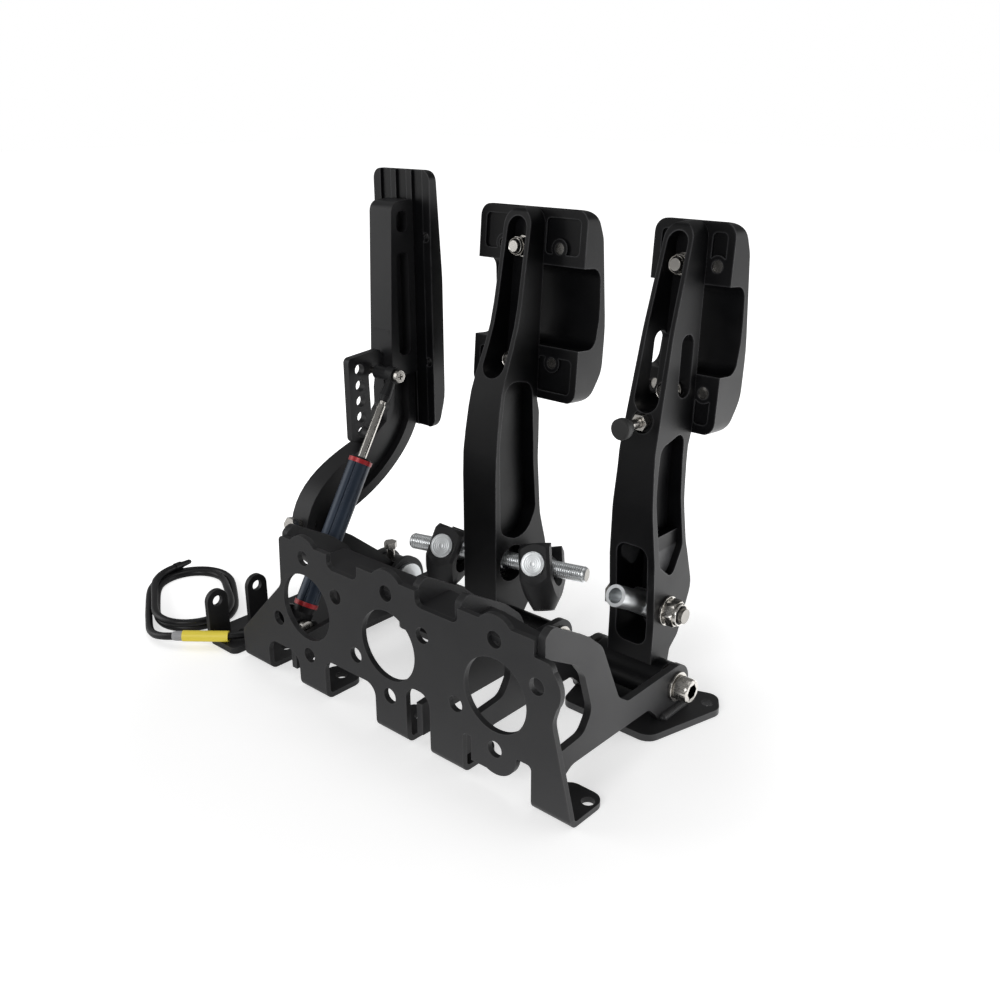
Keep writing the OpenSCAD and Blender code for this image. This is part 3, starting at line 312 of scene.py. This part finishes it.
def build_soft_shading():
    """Shades every face smooth and keeps the edges sharper than the limit hard."""
    tree = bpy.data.node_groups.new("soft shading", "GeometryNodeTree")
    tree.interface.new_socket("Geometry", in_out="INPUT", socket_type="NodeSocketGeometry")
    tree.interface.new_socket("Geometry", in_out="OUTPUT", socket_type="NodeSocketGeometry")
    start = tree.nodes.new("NodeGroupInput")
    end = tree.nodes.new("NodeGroupOutput")
    faces = tree.nodes.new("GeometryNodeSetShadeSmooth")
    faces.domain = "FACE"
    edges = tree.nodes.new("GeometryNodeSetShadeSmooth")
    edges.domain = "EDGE"
    angle = tree.nodes.new("GeometryNodeInputMeshEdgeAngle")
    gentle = tree.nodes.new("FunctionNodeCompare")
    gentle.data_type = "FLOAT"
    gentle.operation = "LESS_THAN"
    gentle.inputs[1].default_value = SMOOTH_ANGLE
    tree.links.new(angle.outputs["Unsigned Angle"], gentle.inputs[0])
    tree.links.new(gentle.outputs["Result"], edges.inputs["Shade Smooth"])
    tree.links.new(start.outputs[0], faces.inputs["Geometry"])
    tree.links.new(faces.outputs[0], edges.inputs["Geometry"])
    tree.links.new(edges.outputs[0], end.inputs[0])
    return tree


SOFT_SHADING = build_soft_shading()


def dress_solids():
    """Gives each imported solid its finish, smooth shading and rounded edges."""
    for part in frame["record"]["subparts"]:
        solid = cad_nodes[part["node"]]
        slot = part["material_slot"]
        finish = OWN_FINISH.get(part["node"], SLOT_FINISH[slot])
        if not solid.material_slots:
            solid.data.materials.append(finish)
        for place in solid.material_slots:
            place.material = finish
        weld = solid.modifiers.new("joined", "WELD")
        weld.merge_threshold = SOLID_WELD
        shading = solid.modifiers.new("shaded", "NODES")
        shading.node_group = SOFT_SHADING
        if slot not in EDGE_ROUND:
            continue
        bevel = solid.modifiers.new("rounded", "BEVEL")
        bevel.width = EDGE_ROUND[slot] * MM
        bevel.segments = EDGE_STEPS
        bevel.limit_method = "ANGLE"
        bevel.angle_limit = SHARP_ANGLE
        bevel.harden_normals = True
        bevel.use_clamp_overlap = True


dress_solids()


# New pieces
def keep_piece(name, shape, material, body, slot, *replaced, insert=None):
    """Makes a shape a piece of the object. Its faces of material index 1 take the insert's finish."""
    bmesh.ops.remove_doubles(shape, verts=shape.verts, dist=SAME_POINT)
    bmesh.ops.recalc_face_normals(shape, faces=shape.faces)
    data = bpy.data.meshes.new(name)
    shape.to_mesh(data)
    shape.free()
    data.shade_smooth()
    data.set_sharp_from_angle(angle=SMOOTH_ANGLE)
    data.materials.append(material)
    if insert:
        data.materials.append(insert)
    piece = bpy.data.objects.new(name, data)
    scene.collection.objects.link(piece)
    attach(piece, body)
    if replaced:
        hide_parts(*replaced)
    return piece


def turned(profile, steps):
    """A lathe-turned shape about X from (distance along X, radius) pairs in millimetres."""
    shape = bmesh.new()
    points = [shape.verts.new((x * MM, 0.0, r * MM)) for x, r in profile]
    edges = [shape.edges.new(pair) for pair in zip(points, points[1:])]
    bmesh.ops.spin(shape, geom=points + edges, axis=X_AXIS, cent=(0, 0, 0), steps=steps, angle=2 * math.pi,
                   use_merge=True)
    bmesh.ops.remove_doubles(shape, verts=shape.verts, dist=SAME_POINT)
    return shape


def turned_ring(profile, steps):
    """A turned shape whose profile closes on itself round an open bore."""
    return turned(profile + profile[:1], steps)


def along(at, direction):
    """Places a shape turned about X at a point, facing a direction."""
    turn = Vector(direction).to_track_quat("X", "Z").to_matrix().to_4x4()
    return Matrix.Translation(Vector(at)) @ turn


def move(shape, place):
    bmesh.ops.transform(shape, matrix=place, verts=shape.verts)
    return shape


def absorb(whole, part, place):
    """Moves one shape into place and adds it to another."""
    data = bpy.data.meshes.new("part")
    move(part, place).to_mesh(data)
    part.free()
    whole.from_mesh(data)
    bpy.data.meshes.remove(data)


# Sensor cable: the route of the solid, then turns of the flat coil, in millimetres
CABLE_D = 4.6 * MM
CABLE_ROUND = 3
CABLE_ROUTE = [
    (-92, 20.5, 21.8), (-92, 26, 17.6), (-92.5, 31.5, 13.6), (-94.5, 37, 10.4), (-98.5, 41.5, 8),
    (-104, 44, 6.6), (-111, 44, 6.4), (-117.5, 41, 6.4), (-122.5, 35.5, 6.4), (-126.5, 28, 6.4),
    (-130.5, 19, 6.6), (-135, 9.5, 7.1), (-140, 0, 7.4), (-150.5, -8.75, 7.4), (-161, -17.5, 7.4),
    (-167, -21.6, 6.6), (-174, -24, 5.2), (-181.5, -24.4, 3.8), (-189, -22.6, 2.8), (-196, -19.3, 2.4),
    (-202.5, -15.4, 2.4),
]
SLEEVE_END = (-161, -17.5, 7.4)
COIL_AT = (-209.5, 20)
COIL_TURN = math.radians(148)
COIL_STRAIGHT = 21.0
COIL_START = math.radians(135)
OUTER_LANE = 26.6
INNER_LANE = 21.8
TOP_LANE = 24.2
TOP_WANDER = 1.6
WANDER_RATE = 9.0
FLOOR_Z = 2.4
TOP_Z = 7.05
# Steps of each turn, the first step, the number of turns, and the turns at which the cable changes lane
COIL_STEPS = 64
COIL_FIRST = 6
COIL_TURNS = 2.42
INWARD_AT = 0.74
RISE_AT = 1.52
ON_TOP_AT = 1.62
CHANGE_OVER = 0.2
ROUTE_STEPS = 5
RELAX_ROUNDS = 12
RELAX_SHARE = 0.25


def oval_point(lane, height, turns):
    """A point on the flat coil, counted in turns from where the cable comes in at the near end."""
    arc = math.pi * lane
    side = 2 * COIL_STRAIGHT
    run = (turns % 1.0) * (2 * arc + 2 * side)
    quarter = arc * 0.25
    if run < quarter:
        angle = COIL_START - run / lane
        u, v = -COIL_STRAIGHT + lane * math.cos(angle), lane * math.sin(angle)
    elif run < quarter + side:
        u, v = -COIL_STRAIGHT + run - quarter, lane
    elif run < quarter + side + arc:
        angle = math.pi / 2 - (run - quarter - side) / lane
        u, v = COIL_STRAIGHT + lane * math.cos(angle), lane * math.sin(angle)
    elif run < quarter + 2 * side + arc:
        u, v = COIL_STRAIGHT - (run - quarter - side - arc), -lane
    else:
        angle = -math.pi / 2 - (run - quarter - 2 * side - arc) / lane
        u, v = -COIL_STRAIGHT + lane * math.cos(angle), lane * math.sin(angle)
    c, s = math.cos(COIL_TURN), math.sin(COIL_TURN)
    return (COIL_AT[0] + u * c - v * s, COIL_AT[1] + u * s + v * c, height)


def ease(turns, start):
    """Rises smoothly from 0 to 1 over one change of lane."""
    t = max(0.0, min(1.0, (turns - start) / CHANGE_OVER))
    return t * t * (3 - 2 * t)


def coil_points():
    points = []
    for i in range(COIL_FIRST, int(COIL_TURNS * COIL_STEPS)):
        turns = i / COIL_STEPS
        wander = TOP_WANDER * math.sin(WANDER_RATE * (turns - ON_TOP_AT))
        lane = OUTER_LANE + (INNER_LANE - OUTER_LANE) * ease(turns, INWARD_AT)
        lane += ease(turns, ON_TOP_AT) * (TOP_LANE - INNER_LANE + wander)
        height = FLOOR_Z + (TOP_Z - FLOOR_Z) * ease(turns, RISE_AT)
        points.append(oval_point(lane, height, turns))
    return points


def smooth_route(points):
    """Catmull-Rom curve through every point."""
    line = []
    ends = [points[0]] + points + [points[-1]]
    for i in range(1, len(ends) - 2):
        a, b, c, d = (Vector(p) for p in ends[i - 1:i + 3])
        for k in range(ROUTE_STEPS):
            t = k / ROUTE_STEPS
            line.append(0.5 * (2 * b + (c - a) * t + (2 * a - 5 * b + 4 * c - d) * t ** 2
                               + (3 * b - a - 3 * c + d) * t ** 3))
    line.append(Vector(points[-1]))
    return line


def relax(line):
    """Evens out the bends of a route while its two ends stay put."""
    for _ in range(RELAX_ROUNDS):
        middle = [b + RELAX_SHARE * (a - 2 * b + c) for a, b, c in zip(line, line[1:], line[2:])]
        line = [line[0]] + middle + [line[-1]]
    return line


def line_direction(line, point):
    nearest = min(range(1, len(line) - 1), key=lambda i: (line[i] - point).length)
    return line[nearest + 1] - line[nearest - 1]


LEAD_TIP = [(-4, 2.32), (-4, 2.75), (0.5, 2.75), (2.5, 1.98), (8, 1.65), (9, 1.1), (9, 0)]
SLEEVE_SHRINK = [(0, 2.4), (0, 3.0), (3.5, 2.95), (5.5, 2.7), (6.2, 2.4)]
TIP_STEPS = 16
SHRINK_STEPS = 20


def make_lead_tip(at, direction):
    """Heat-shrunk end of the lead, closing to a blunt point."""
    shape = move(turned(LEAD_TIP, TIP_STEPS), along(at, direction))
    return keep_piece("lead_tip", shape, cable_jacket, "base", "cable_black")


def make_sleeve_shrink(at, direction):
    """Grey shrink collar where the lead leaves the yellow sleeve."""
    shape = move(turned_ring(SLEEVE_SHRINK, SHRINK_STEPS), along(at, direction))
    return keep_piece("sleeve_shrink", shape, shrink_grey, "base", "cable_black")


def make_cable():
    coil = coil_points()
    line = relax(smooth_route(CABLE_ROUTE + coil[:2])[:-1] + [Vector(p) for p in coil[1:]])
    line = [mm(*p) for p in line]
    data = bpy.data.curves.new("sensor_lead", "CURVE")
    data.dimensions = "3D"
    data.bevel_depth = CABLE_D / 2
    data.bevel_resolution = CABLE_ROUND
    data.use_fill_caps = True
    spline = data.splines.new("POLY")
    spline.points.add(len(line) - 1)
    for place, point in zip(spline.points, line):
        place.co = (*point, 1.0)
    data.materials.append(cable_jacket)
    cable = bpy.data.objects.new("sensor_lead", data)
    scene.collection.objects.link(cable)
    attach(cable, "base")
    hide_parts("sensor_cable", "cable_coil")
    tip = make_lead_tip(line[-1], line[-1] - line[-3])
    sleeve_end = mm(*SLEEVE_END)
    collar = make_sleeve_shrink(sleeve_end, line_direction(line, sleeve_end))


make_cable()


# Brake bias bar and its cross barrels
BAR_AT = Matrix.Translation(mm(-31.75, 116.5, 51.5)) @ Matrix.Rotation(math.radians(15), 4, "Z")
BAR_HALF = 57.5
BAR_RADIUS = 4.75
THREAD_PITCH = 1.25
THREAD_DEPTH = 0.32
THREAD_CHAMFER = 0.6
CHAMFER_RUN = 0.8
FIRST_CREST = 1.0
LAST_CREST = 0.9
BAR_STEPS = 40
END_FACE = 0.05
BARREL_APART = 29.5
BARREL_END = 15.48
BARREL_SWING = Matrix.Rotation(math.radians(-27), 4, "X")
BARREL_RINGS = (5.2, 4.0, 2.8, 1.6)
RING_TOP = 0.3
RING_FLOOR = 0.26


def bar_profile():
    """Crests and roots of the bar's thread, closed at both ends with a chamfer."""
    root = BAR_RADIUS - THREAD_DEPTH
    end = root - THREAD_CHAMFER
    profile = [(-BAR_HALF, 0), (-BAR_HALF, end), (-BAR_HALF + CHAMFER_RUN, root)]
    x = -BAR_HALF + FIRST_CREST
    while x + THREAD_PITCH < BAR_HALF - LAST_CREST:
        profile += [(x, root), (x + 0.4 * THREAD_PITCH, BAR_RADIUS), (x + 0.55 * THREAD_PITCH, BAR_RADIUS)]
        x += THREAD_PITCH
    return profile + [(BAR_HALF - CHAMFER_RUN, root), (BAR_HALF, end), (BAR_HALF, 0)]


def make_bias_bar():
    """Zinc-plated thread with plain sawn ends."""
    shape = turned(bar_profile(), BAR_STEPS)
    for face in shape.faces:
        at_end = abs(face.calc_center_median().x) > (BAR_HALF - END_FACE) * MM
        face.material_index = int(at_end)
    move(shape, BAR_AT)
    keep_piece("bias_bar_thread", shape, zinc_plate, "bias_rod", "zinc", "bias_bar", insert=dull_steel)


def make_barrel_faces():
    """Turned rings on the ends of both cross barrels."""
    profile = [(0, 6.6), (RING_TOP, 6.4)]
    for radius in BARREL_RINGS:
        profile += [(RING_TOP, radius + 0.3), (RING_FLOOR, radius + 0.1), (RING_FLOOR, radius - 0.1),
                    (RING_TOP, radius - 0.3)]
    profile += [(RING_TOP, 0), (0, 0)]
    for name, side in (("left", -1), ("right", 1)):
        swing = BAR_AT @ Matrix.Translation((side * BARREL_APART * MM, 0, 0)) @ BARREL_SWING
        shape = bmesh.new()
        for end in (-1, 1):
            place = along((0, end * BARREL_END * MM, 0), (0, end, 0))
            absorb(shape, turned(profile, BAR_STEPS), swing @ place)
        keep_piece(name + "_barrel_faces", shape, zinc_plate, name + "_trunnion", "zinc")


# Lock nuts and cap screws, in millimetres
PUSHROD_NUT = {"height": 5.6, "corner": 7.44, "bore": 4.06}
PIVOT_NUT = {"height": 5.0, "corner": 7.44, "bore": 4.06}
PAD_NUT = {"height": 4.6, "corner": 5.6, "bore": 3.06, "washer": 1.2}
NUT_STEPS = 48
COLLAR_STEPS = 40
# Shares of a nut's corner radius
CHAMFER_REACH = 0.89
CHAMFER_CUT = 0.07
WASHER_RIM = 1.06
WASHER_TOP = 1.02
COLLAR_REACH = 0.83
# Share of the collar's radius that its dark insert fills
INSERT_REACH = 0.84
PUSHROD_NUT_AT = (86.65, 119, 54.5)
PIVOT_AT = (112, 17.5)
PIVOT_NUTS = (-85.4, 42.35)
PIVOT_SHANKS = ((-93.35, 21.85), (34.4, 99.6))
PAD_FOOT = (138.5, 146.0)
PAD_LEAN = Matrix.Rotation(math.radians(-5), 4, "X")
PAD_BOLT_ROWS = (21.0, 83.0)
PAD_NUT_SEAT = -6.05
PEDAL_MIDDLES = {"brake": -31.75, "clutch": 71.0}
HEAD_RADIUS = 6.4
HEAD_HEIGHT = 8.0
SOCKET_CORNER = 3.9
SOCKET_DEPTH = 4.0
SHANK_RADIUS = 4.0
SHANK_POINT = 3.2
SHANK_STEPS = 28
KNURL_RIDGES = 36
KNURL_DEPTH = 0.06


def hexagon_radius(angle, corner):
    """Distance from the middle of a hexagon to its side at an angle."""
    return corner * math.cos(math.pi / 6) / math.cos(angle % (math.pi / 3) - math.pi / 6)


def ringed_shape(rows, steps, closed):
    """Bridges rings about X; each row is a distance and a function from angle to radius."""
    shape = bmesh.new()
    loops = []
    for x, reach in rows:
        ring = bmesh.ops.create_circle(shape, segments=steps, radius=1.0)["verts"]
        for vert in ring:
            angle = math.atan2(vert.co.y, vert.co.x)
            radius = reach(angle)
            vert.co = Vector((x, radius * math.cos(angle), radius * math.sin(angle))) * MM
        loops.append(list({edge for vert in ring for edge in vert.link_edges}))
    following = loops[1:] + loops[:1] if closed else loops[1:]
    for first, second in zip(loops, following):
        bmesh.ops.bridge_loops(shape, edges=first + second)
    if not closed:
        bmesh.ops.contextual_create(shape, geom=loops[0])
        bmesh.ops.contextual_create(shape, geom=loops[-1])
    return shape


def nut_body(corner, height, bore):
    """A hexagon chamfered round both faces, with a through bore, about X."""
    def hexagon(angle):
        return hexagon_radius(angle, corner)

    def chamfer(angle):
        return min(hexagon(angle), corner * CHAMFER_REACH)

    def hole(angle):
        return bore

    cut = corner * CHAMFER_CUT
    rows = [(0.0, hole), (0.0, chamfer), (cut, hexagon), (height - cut, hexagon), (height, chamfer),
            (height, hole)]
    return ringed_shape(rows, NUT_STEPS, True)


def lock_nut(whole, at, direction, height, corner, bore, washer=0.0):
    """Hexagon nut with a rolled collar round a dark insert, on a washer where one is given."""
    place = along(at, direction)
    if washer:
        rim = corner * WASHER_RIM
        hole = bore + 0.1
        flat = [(0, hole), (0, rim), (washer - 0.2, rim), (washer, corner * WASHER_TOP), (washer, hole)]
        absorb(whole, turned_ring(flat, COLLAR_STEPS), place)
        place = place @ Matrix.Translation((washer * MM, 0, 0))
    absorb(whole, nut_body(corner, height, bore), place)
    collar = corner * COLLAR_REACH
    lip = collar * INSERT_REACH
    throat = bore + 0.2
    profile = [(0, collar), (1.1, collar), (1.7, collar * 0.97), (2.0, collar * 0.91), (1.8, lip),
               (1.2, throat), (0, throat)]
    ring = turned_ring([(height + x, radius) for x, radius in profile], COLLAR_STEPS)
    for face in ring.faces:
        reach = max(math.hypot(vert.co.y, vert.co.z) for vert in face.verts)
        face.material_index = int(reach < (lip + 0.01) * MM)
    absorb(whole, ring, place)


def make_lock_nuts():
    shape = bmesh.new()
    lock_nut(shape, mm(*PUSHROD_NUT_AT), (1, 0, 0), **PUSHROD_NUT)
    keep_piece("pushrod_lock_nut", shape, bright_steel, "clutch_pedal", "stainless", "pushrod_nut",
               insert=moulded_black)
    shape = bmesh.new()
    for x in PIVOT_NUTS:
        lock_nut(shape, mm(x, *PIVOT_AT), (-1, 0, 0), **PIVOT_NUT)
    keep_piece("pivot_lock_nuts", shape, bright_steel, "base", "stainless", "pivot_nuts",
               insert=moulded_black)
    for name, x in PEDAL_MIDDLES.items():
        shape = bmesh.new()
        for row in PAD_BOLT_ROWS:
            lock_nut(shape, Vector((0, PAD_NUT_SEAT, row)) * MM, (0, -1, 0), **PAD_NUT)
        move(shape, Matrix.Translation(mm(x, *PAD_FOOT)) @ PAD_LEAN)
        keep_piece(name + "_pad_lock_nuts", shape, bright_steel, name + "_pedal", "stainless",
                   name + "_pad_nuts", insert=moulded_black)


def socket_head():
    """Finely knurled cap head with a hexagon socket, about X from 0 to its height."""
    def knurl(angle):
        return HEAD_RADIUS + KNURL_DEPTH * math.cos(KNURL_RIDGES * angle)

    def plain(inset):
        return lambda angle: HEAD_RADIUS - inset

    def wall(angle):
        return hexagon_radius(angle, SOCKET_CORNER)

    def lip(angle):
        return wall(angle) + 0.3

    top = HEAD_HEIGHT
    rows = [(0.0, plain(0.3)), (0.4, knurl), (top - 1.5, knurl), (top - 1.1, plain(0.1)),
            (top - 0.4, plain(0.25)), (top, plain(0.7)), (top, lip), (top - 0.3, wall),
            (top - SOCKET_DEPTH, wall)]
    return ringed_shape(rows, KNURL_RIDGES * 4, False)


def make_pivot_bolts():
    shape = bmesh.new()
    for left, right in PIVOT_SHANKS:
        absorb(shape, socket_head(), along(mm(right, *PIVOT_AT), (1, 0, 0)))
        profile = [(left, 0), (left, SHANK_POINT), (left + 0.8, SHANK_RADIUS), (right, SHANK_RADIUS),
                   (right, 0)]
        absorb(shape, turned(profile, SHANK_STEPS), Matrix.Translation(mm(0, *PIVOT_AT)))
    keep_piece("pivot_cap_screws", shape, bright_steel, "base", "stainless", "pivot_bolts")


# Welds along the feet of the side plates
SIDE_PLATES_LEFT = (-83.75, 16.25, 44.0, 94.0)
WELD_OFFSETS = (-0.8, 4.8)
WELD_RUN = (99, 119)
WELD_HEIGHT = 4.6
WELD_SIZE = 2.8
WELD_STEP = 0.45
RIPPLE_SQUASH = Matrix.Diagonal((1.0, 0.8, 0.85, 1.0))


def weld_bead(whole, start, end):
    """A run of overlapping ripples along a joint."""
    run = end - start
    count = max(2, int(run.length / (WELD_SIZE * WELD_STEP * MM)))
    for i in range(count + 1):
        ripple = bmesh.new()
        bmesh.ops.create_icosphere(ripple, subdivisions=2, radius=WELD_SIZE * MM)
        absorb(whole, ripple, Matrix.Translation(start + run * i / count) @ RIPPLE_SQUASH)


def make_welds():
    shape = bmesh.new()
    for left in SIDE_PLATES_LEFT:
        for offset in WELD_OFFSETS:
            start, end = (mm(left + offset, y, WELD_HEIGHT) for y in WELD_RUN)
            weld_bead(shape, start, end)
    keep_piece("base_welds", shape, powder_coat, "base", "black_coat")


# Throttle return spring
SPRING_AT = (-126.6, 107.5, 19)
SPRING_WIRE = 1.2
SPRING_MEAN = 6.25
SPRING_COILS = 5
SPRING_PITCH = 2.33
SPRING_STEPS = 28
WIRE_STEPS = 10
SPRING_LEG = 30


def make_return_spring():
    """Close-wound torsion spring on the throttle pin with a leg down to the base."""
    shape = bmesh.new()
    wire = bmesh.ops.create_circle(shape, segments=WIRE_STEPS, radius=SPRING_WIRE * MM, cap_ends=True)
    ring = wire["verts"]
    for axis in "YZ":
        bmesh.ops.rotate(shape, verts=ring, cent=(0, 0, 0), matrix=Matrix.Rotation(math.pi / 2, 3, axis))
    bmesh.ops.translate(shape, verts=ring, vec=(0, 0, -SPRING_MEAN * MM))
    steps = SPRING_STEPS * SPRING_COILS
    advance = -SPRING_PITCH * SPRING_COILS * MM / steps
    geom = shape.verts[:] + shape.edges[:] + shape.faces[:]
    bmesh.ops.spin(shape, geom=geom, axis=(-1, 0, 0), cent=(0, 0, 0), dvec=(advance, 0, 0), steps=steps,
                   angle=2 * math.pi * SPRING_COILS)
    tip = SPRING_LEG + 0.4
    profile = [(0, 0), (0, SPRING_WIRE), (SPRING_LEG, SPRING_WIRE), (tip, SPRING_WIRE * 0.7), (tip, 0)]
    absorb(shape, turned(profile, WIRE_STEPS), along(Vector((0, 0, -SPRING_MEAN)) * MM, (0, -1, 0)))
    bmesh.ops.translate(shape, verts=shape.verts, vec=mm(*SPRING_AT))
    keep_piece("return_spring", shape, spring_wire, "base", "spring_steel", "throttle_spring")


# Throttle sensor
SENSOR_X = -92
SENSOR_LOW = (15, 25.6)
SENSOR_TOP = (95, 155.5)
LEVER_SIDE = -104.95
ROD_END_SIDE = 3.45
GROMMET_STEPS = 24
ROD_STEPS = 32
GROMMET = [(-3, 3.2), (-3, 4.3), (-0.5, 4.4), (1.5, 4.7), (3.0, 5.2), (3.9, 5.45), (4.2, 5.25), (3.9, 4.85),
           (2.0, 4.3), (0, 3.85)]
PLUNGER = [(60, 0), (60, 2.5), (133.7, 2.5), (134.3, 2.2), (134.3, 1.75), (139, 1.75), (139, 0)]
ROD_END_NECK = [(136.2, 1.8), (136.2, 2.6), (136.7, 3.0), (138.6, 3.2), (139.5, 3.45), (139.5, 1.8)]


def make_lead_boot():
    """Bell-mouthed grommet round the lead where it leaves the sensor's lower cap."""
    exit_point = Vector(CABLE_ROUTE[0])
    heading = Vector(CABLE_ROUTE[1]) - exit_point
    shape = move(turned_ring(GROMMET, GROMMET_STEPS), along(mm(*exit_point), heading))
    keep_piece("lead_boot", shape, moulded_black, "sensor_barrel", "sensor_black")


def make_plunger():
    """Polished sensor rod with its threaded stub, and the black neck of the rod end that screws on to it."""
    low = mm(SENSOR_X, *SENSOR_LOW)
    place = along(low, mm(SENSOR_X, *SENSOR_TOP) - low)
    rod = move(turned(PLUNGER, ROD_STEPS), place)
    keep_piece("sensor_plunger", rod, bright_steel, "sensor_slider", "stainless", "sensor_rod")
    neck = move(turned_ring(ROD_END_NECK, ROD_STEPS), place)
    keep_piece("rod_end_neck", neck, moulded_black, "sensor_slider", "sensor_black", "sensor_rod_collar")


def make_rod_end_spacer():
    """Black spacer between the throttle lever and the rod end."""
    reach = SENSOR_X - ROD_END_SIDE - LEVER_SIDE
    profile = [(0, 3.42), (0, 4.3), (1.2, 4.3), (2.2, 3.8), (reach - 0.5, 3.8), (reach, 3.6), (reach, 3.42)]
    shape = turned_ring(profile, ROD_STEPS)
    bmesh.ops.translate(shape, verts=shape.verts, vec=mm(LEVER_SIDE, *SENSOR_TOP))
    keep_piece("rod_end_spacer", shape, moulded_black, "throttle_pedal", "sensor_black")


make_bias_bar()
make_plunger()
make_rod_end_spacer()
make_barrel_faces()
make_lead_boot()
make_lock_nuts()
make_pivot_bolts()
make_welds()
make_return_spring()


# Stage and light: the floor's emission paints a pool of light behind the right side, seen only in
# reflections, and a painted soft shade round the object, seen only by the camera
FLOOR_HALF = 6.0
FLOOR_GREY = (0.75, 0.75, 0.75, 1.0)
# Painted pool of light in the floor's emission, seen only in reflections
PAINTED_POOL_AT = (0.42, 0.5, 0.0)
PAINTED_POOL_INNER = 0.15
PAINTED_POOL_OUTER = 0.85
PAINTED_POOL_GLOW = 2.6
FLOOR_GLOW = 0.12
FLOOR_SEEN = 1.0
# Painted shade round the object, in the floor's emission seen by the camera
PAINTED_SHADE_INNER = 0.13
PAINTED_SHADE_OUTER = 0.36
PAINTED_SHADE_SEEN = 0.52
ROOM_LIGHT = 0.24
# Each soft box: name, place, aim, size and power
SOFT_BOXES = [
    ("overhead", (-0.2, 0.4, 1.6), (0.0, 0.05, 0.1), (1.0, 0.8), 4.0),
    ("front", (0.35, -1.4, 0.8), (0.0, 0.05, 0.1), (0.6, 0.6), 9.0),
    ("left_front", (-1.15, -0.66, 0.5), (0.0, 0.05, 0.1), (0.8, 1.0), 5.0),
    ("right_back", (1.6, 1.3, 0.45), (0.0, 0.05, 0.12), (2.0, 0.9), 14.0),
]


def fade(tree, operation, centre, coords, values):
    """A value that changes smoothly with the distance from a point on the floor."""
    apart = tree.nodes.new("ShaderNodeVectorMath")
    apart.operation = operation
    if centre:
        apart.inputs[1].default_value = centre
    tree.links.new(coords, apart.inputs[0])
    result = map_range(tree, apart.outputs["Value"], values)
    result.node.interpolation_type = "SMOOTHSTEP"
    return result


def floor_material():
    material = bpy.data.materials.new("floor")
    material.use_nodes = True
    tree = material.node_tree
    shader = tree.nodes["Principled BSDF"]
    set_values(shader, {"Base Color": FLOOR_GREY, "Roughness": 0.7, "Specular IOR Level": 0.1,
                        "Emission Color": WHITE})
    coords = tree.nodes.new("ShaderNodeTexCoord").outputs["Object"]
    # Painted pool of light: emission on the floor, seen only by rays other than the camera's
    pool = fade(tree, "DISTANCE", PAINTED_POOL_AT, coords, {"From Min": PAINTED_POOL_INNER, "From Max": PAINTED_POOL_OUTER,
                                                    "To Min": PAINTED_POOL_GLOW, "To Max": FLOOR_GLOW})
    # Painted shade: the floor's emission seen by the camera is lower round the object
    shade = fade(tree, "LENGTH", None, coords, {"From Min": PAINTED_SHADE_INNER, "From Max": PAINTED_SHADE_OUTER,
                                                "To Min": PAINTED_SHADE_SEEN, "To Max": FLOOR_SEEN})
    rays = tree.nodes.new("ShaderNodeLightPath")
    glow = tree.nodes.new("ShaderNodeMix")
    tree.links.new(rays.outputs["Is Camera Ray"], glow.inputs[MIX_FACTOR])
    tree.links.new(pool, glow.inputs[MIX_VALUE_A])
    tree.links.new(shade, glow.inputs[MIX_VALUE_B])
    tree.links.new(glow.outputs[MIX_VALUE_OUT], shader.inputs["Emission Strength"])
    return material


def make_stage():
    shape = bmesh.new()
    bmesh.ops.create_grid(shape, x_segments=1, y_segments=1, size=FLOOR_HALF)
    data = bpy.data.meshes.new("floor")
    shape.to_mesh(data)
    shape.free()
    data.materials.append(floor_material())
    floor = bpy.data.objects.new("floor", data)
    scene.collection.objects.link(floor)


def area_light(name, at, aim, size, power):
    data = bpy.data.lights.new(name, "AREA")
    data.shape = "RECTANGLE"
    data.size, data.size_y = size
    data.energy = power
    light = bpy.data.objects.new(name, data)
    light.location = at
    light.rotation_euler = (Vector(aim) - Vector(at)).to_track_quat("-Z", "Y").to_euler()
    scene.collection.objects.link(light)


def make_light():
    """White backdrop for the camera, a dimmer room for everything else, and the soft boxes."""
    world = bpy.data.worlds.new("studio")
    scene.world = world
    world.use_nodes = True
    tree = world.node_tree
    room = tree.nodes["Background"]
    set_values(room, {"Color": WHITE, "Strength": ROOM_LIGHT})
    backdrop = tree.nodes.new("ShaderNodeBackground")
    set_values(backdrop, {"Color": WHITE})
    rays = tree.nodes.new("ShaderNodeLightPath")
    choose = tree.nodes.new("ShaderNodeMixShader")
    tree.links.new(rays.outputs["Is Camera Ray"], choose.inputs[0])
    tree.links.new(room.outputs[0], choose.inputs[1])
    tree.links.new(backdrop.outputs[0], choose.inputs[2])
    tree.links.new(choose.outputs[0], tree.nodes["World Output"].inputs["Surface"])
    for soft_box in SOFT_BOXES:
        area_light(*soft_box)


make_stage()
make_light()
scene.view_settings.view_transform = "Standard"
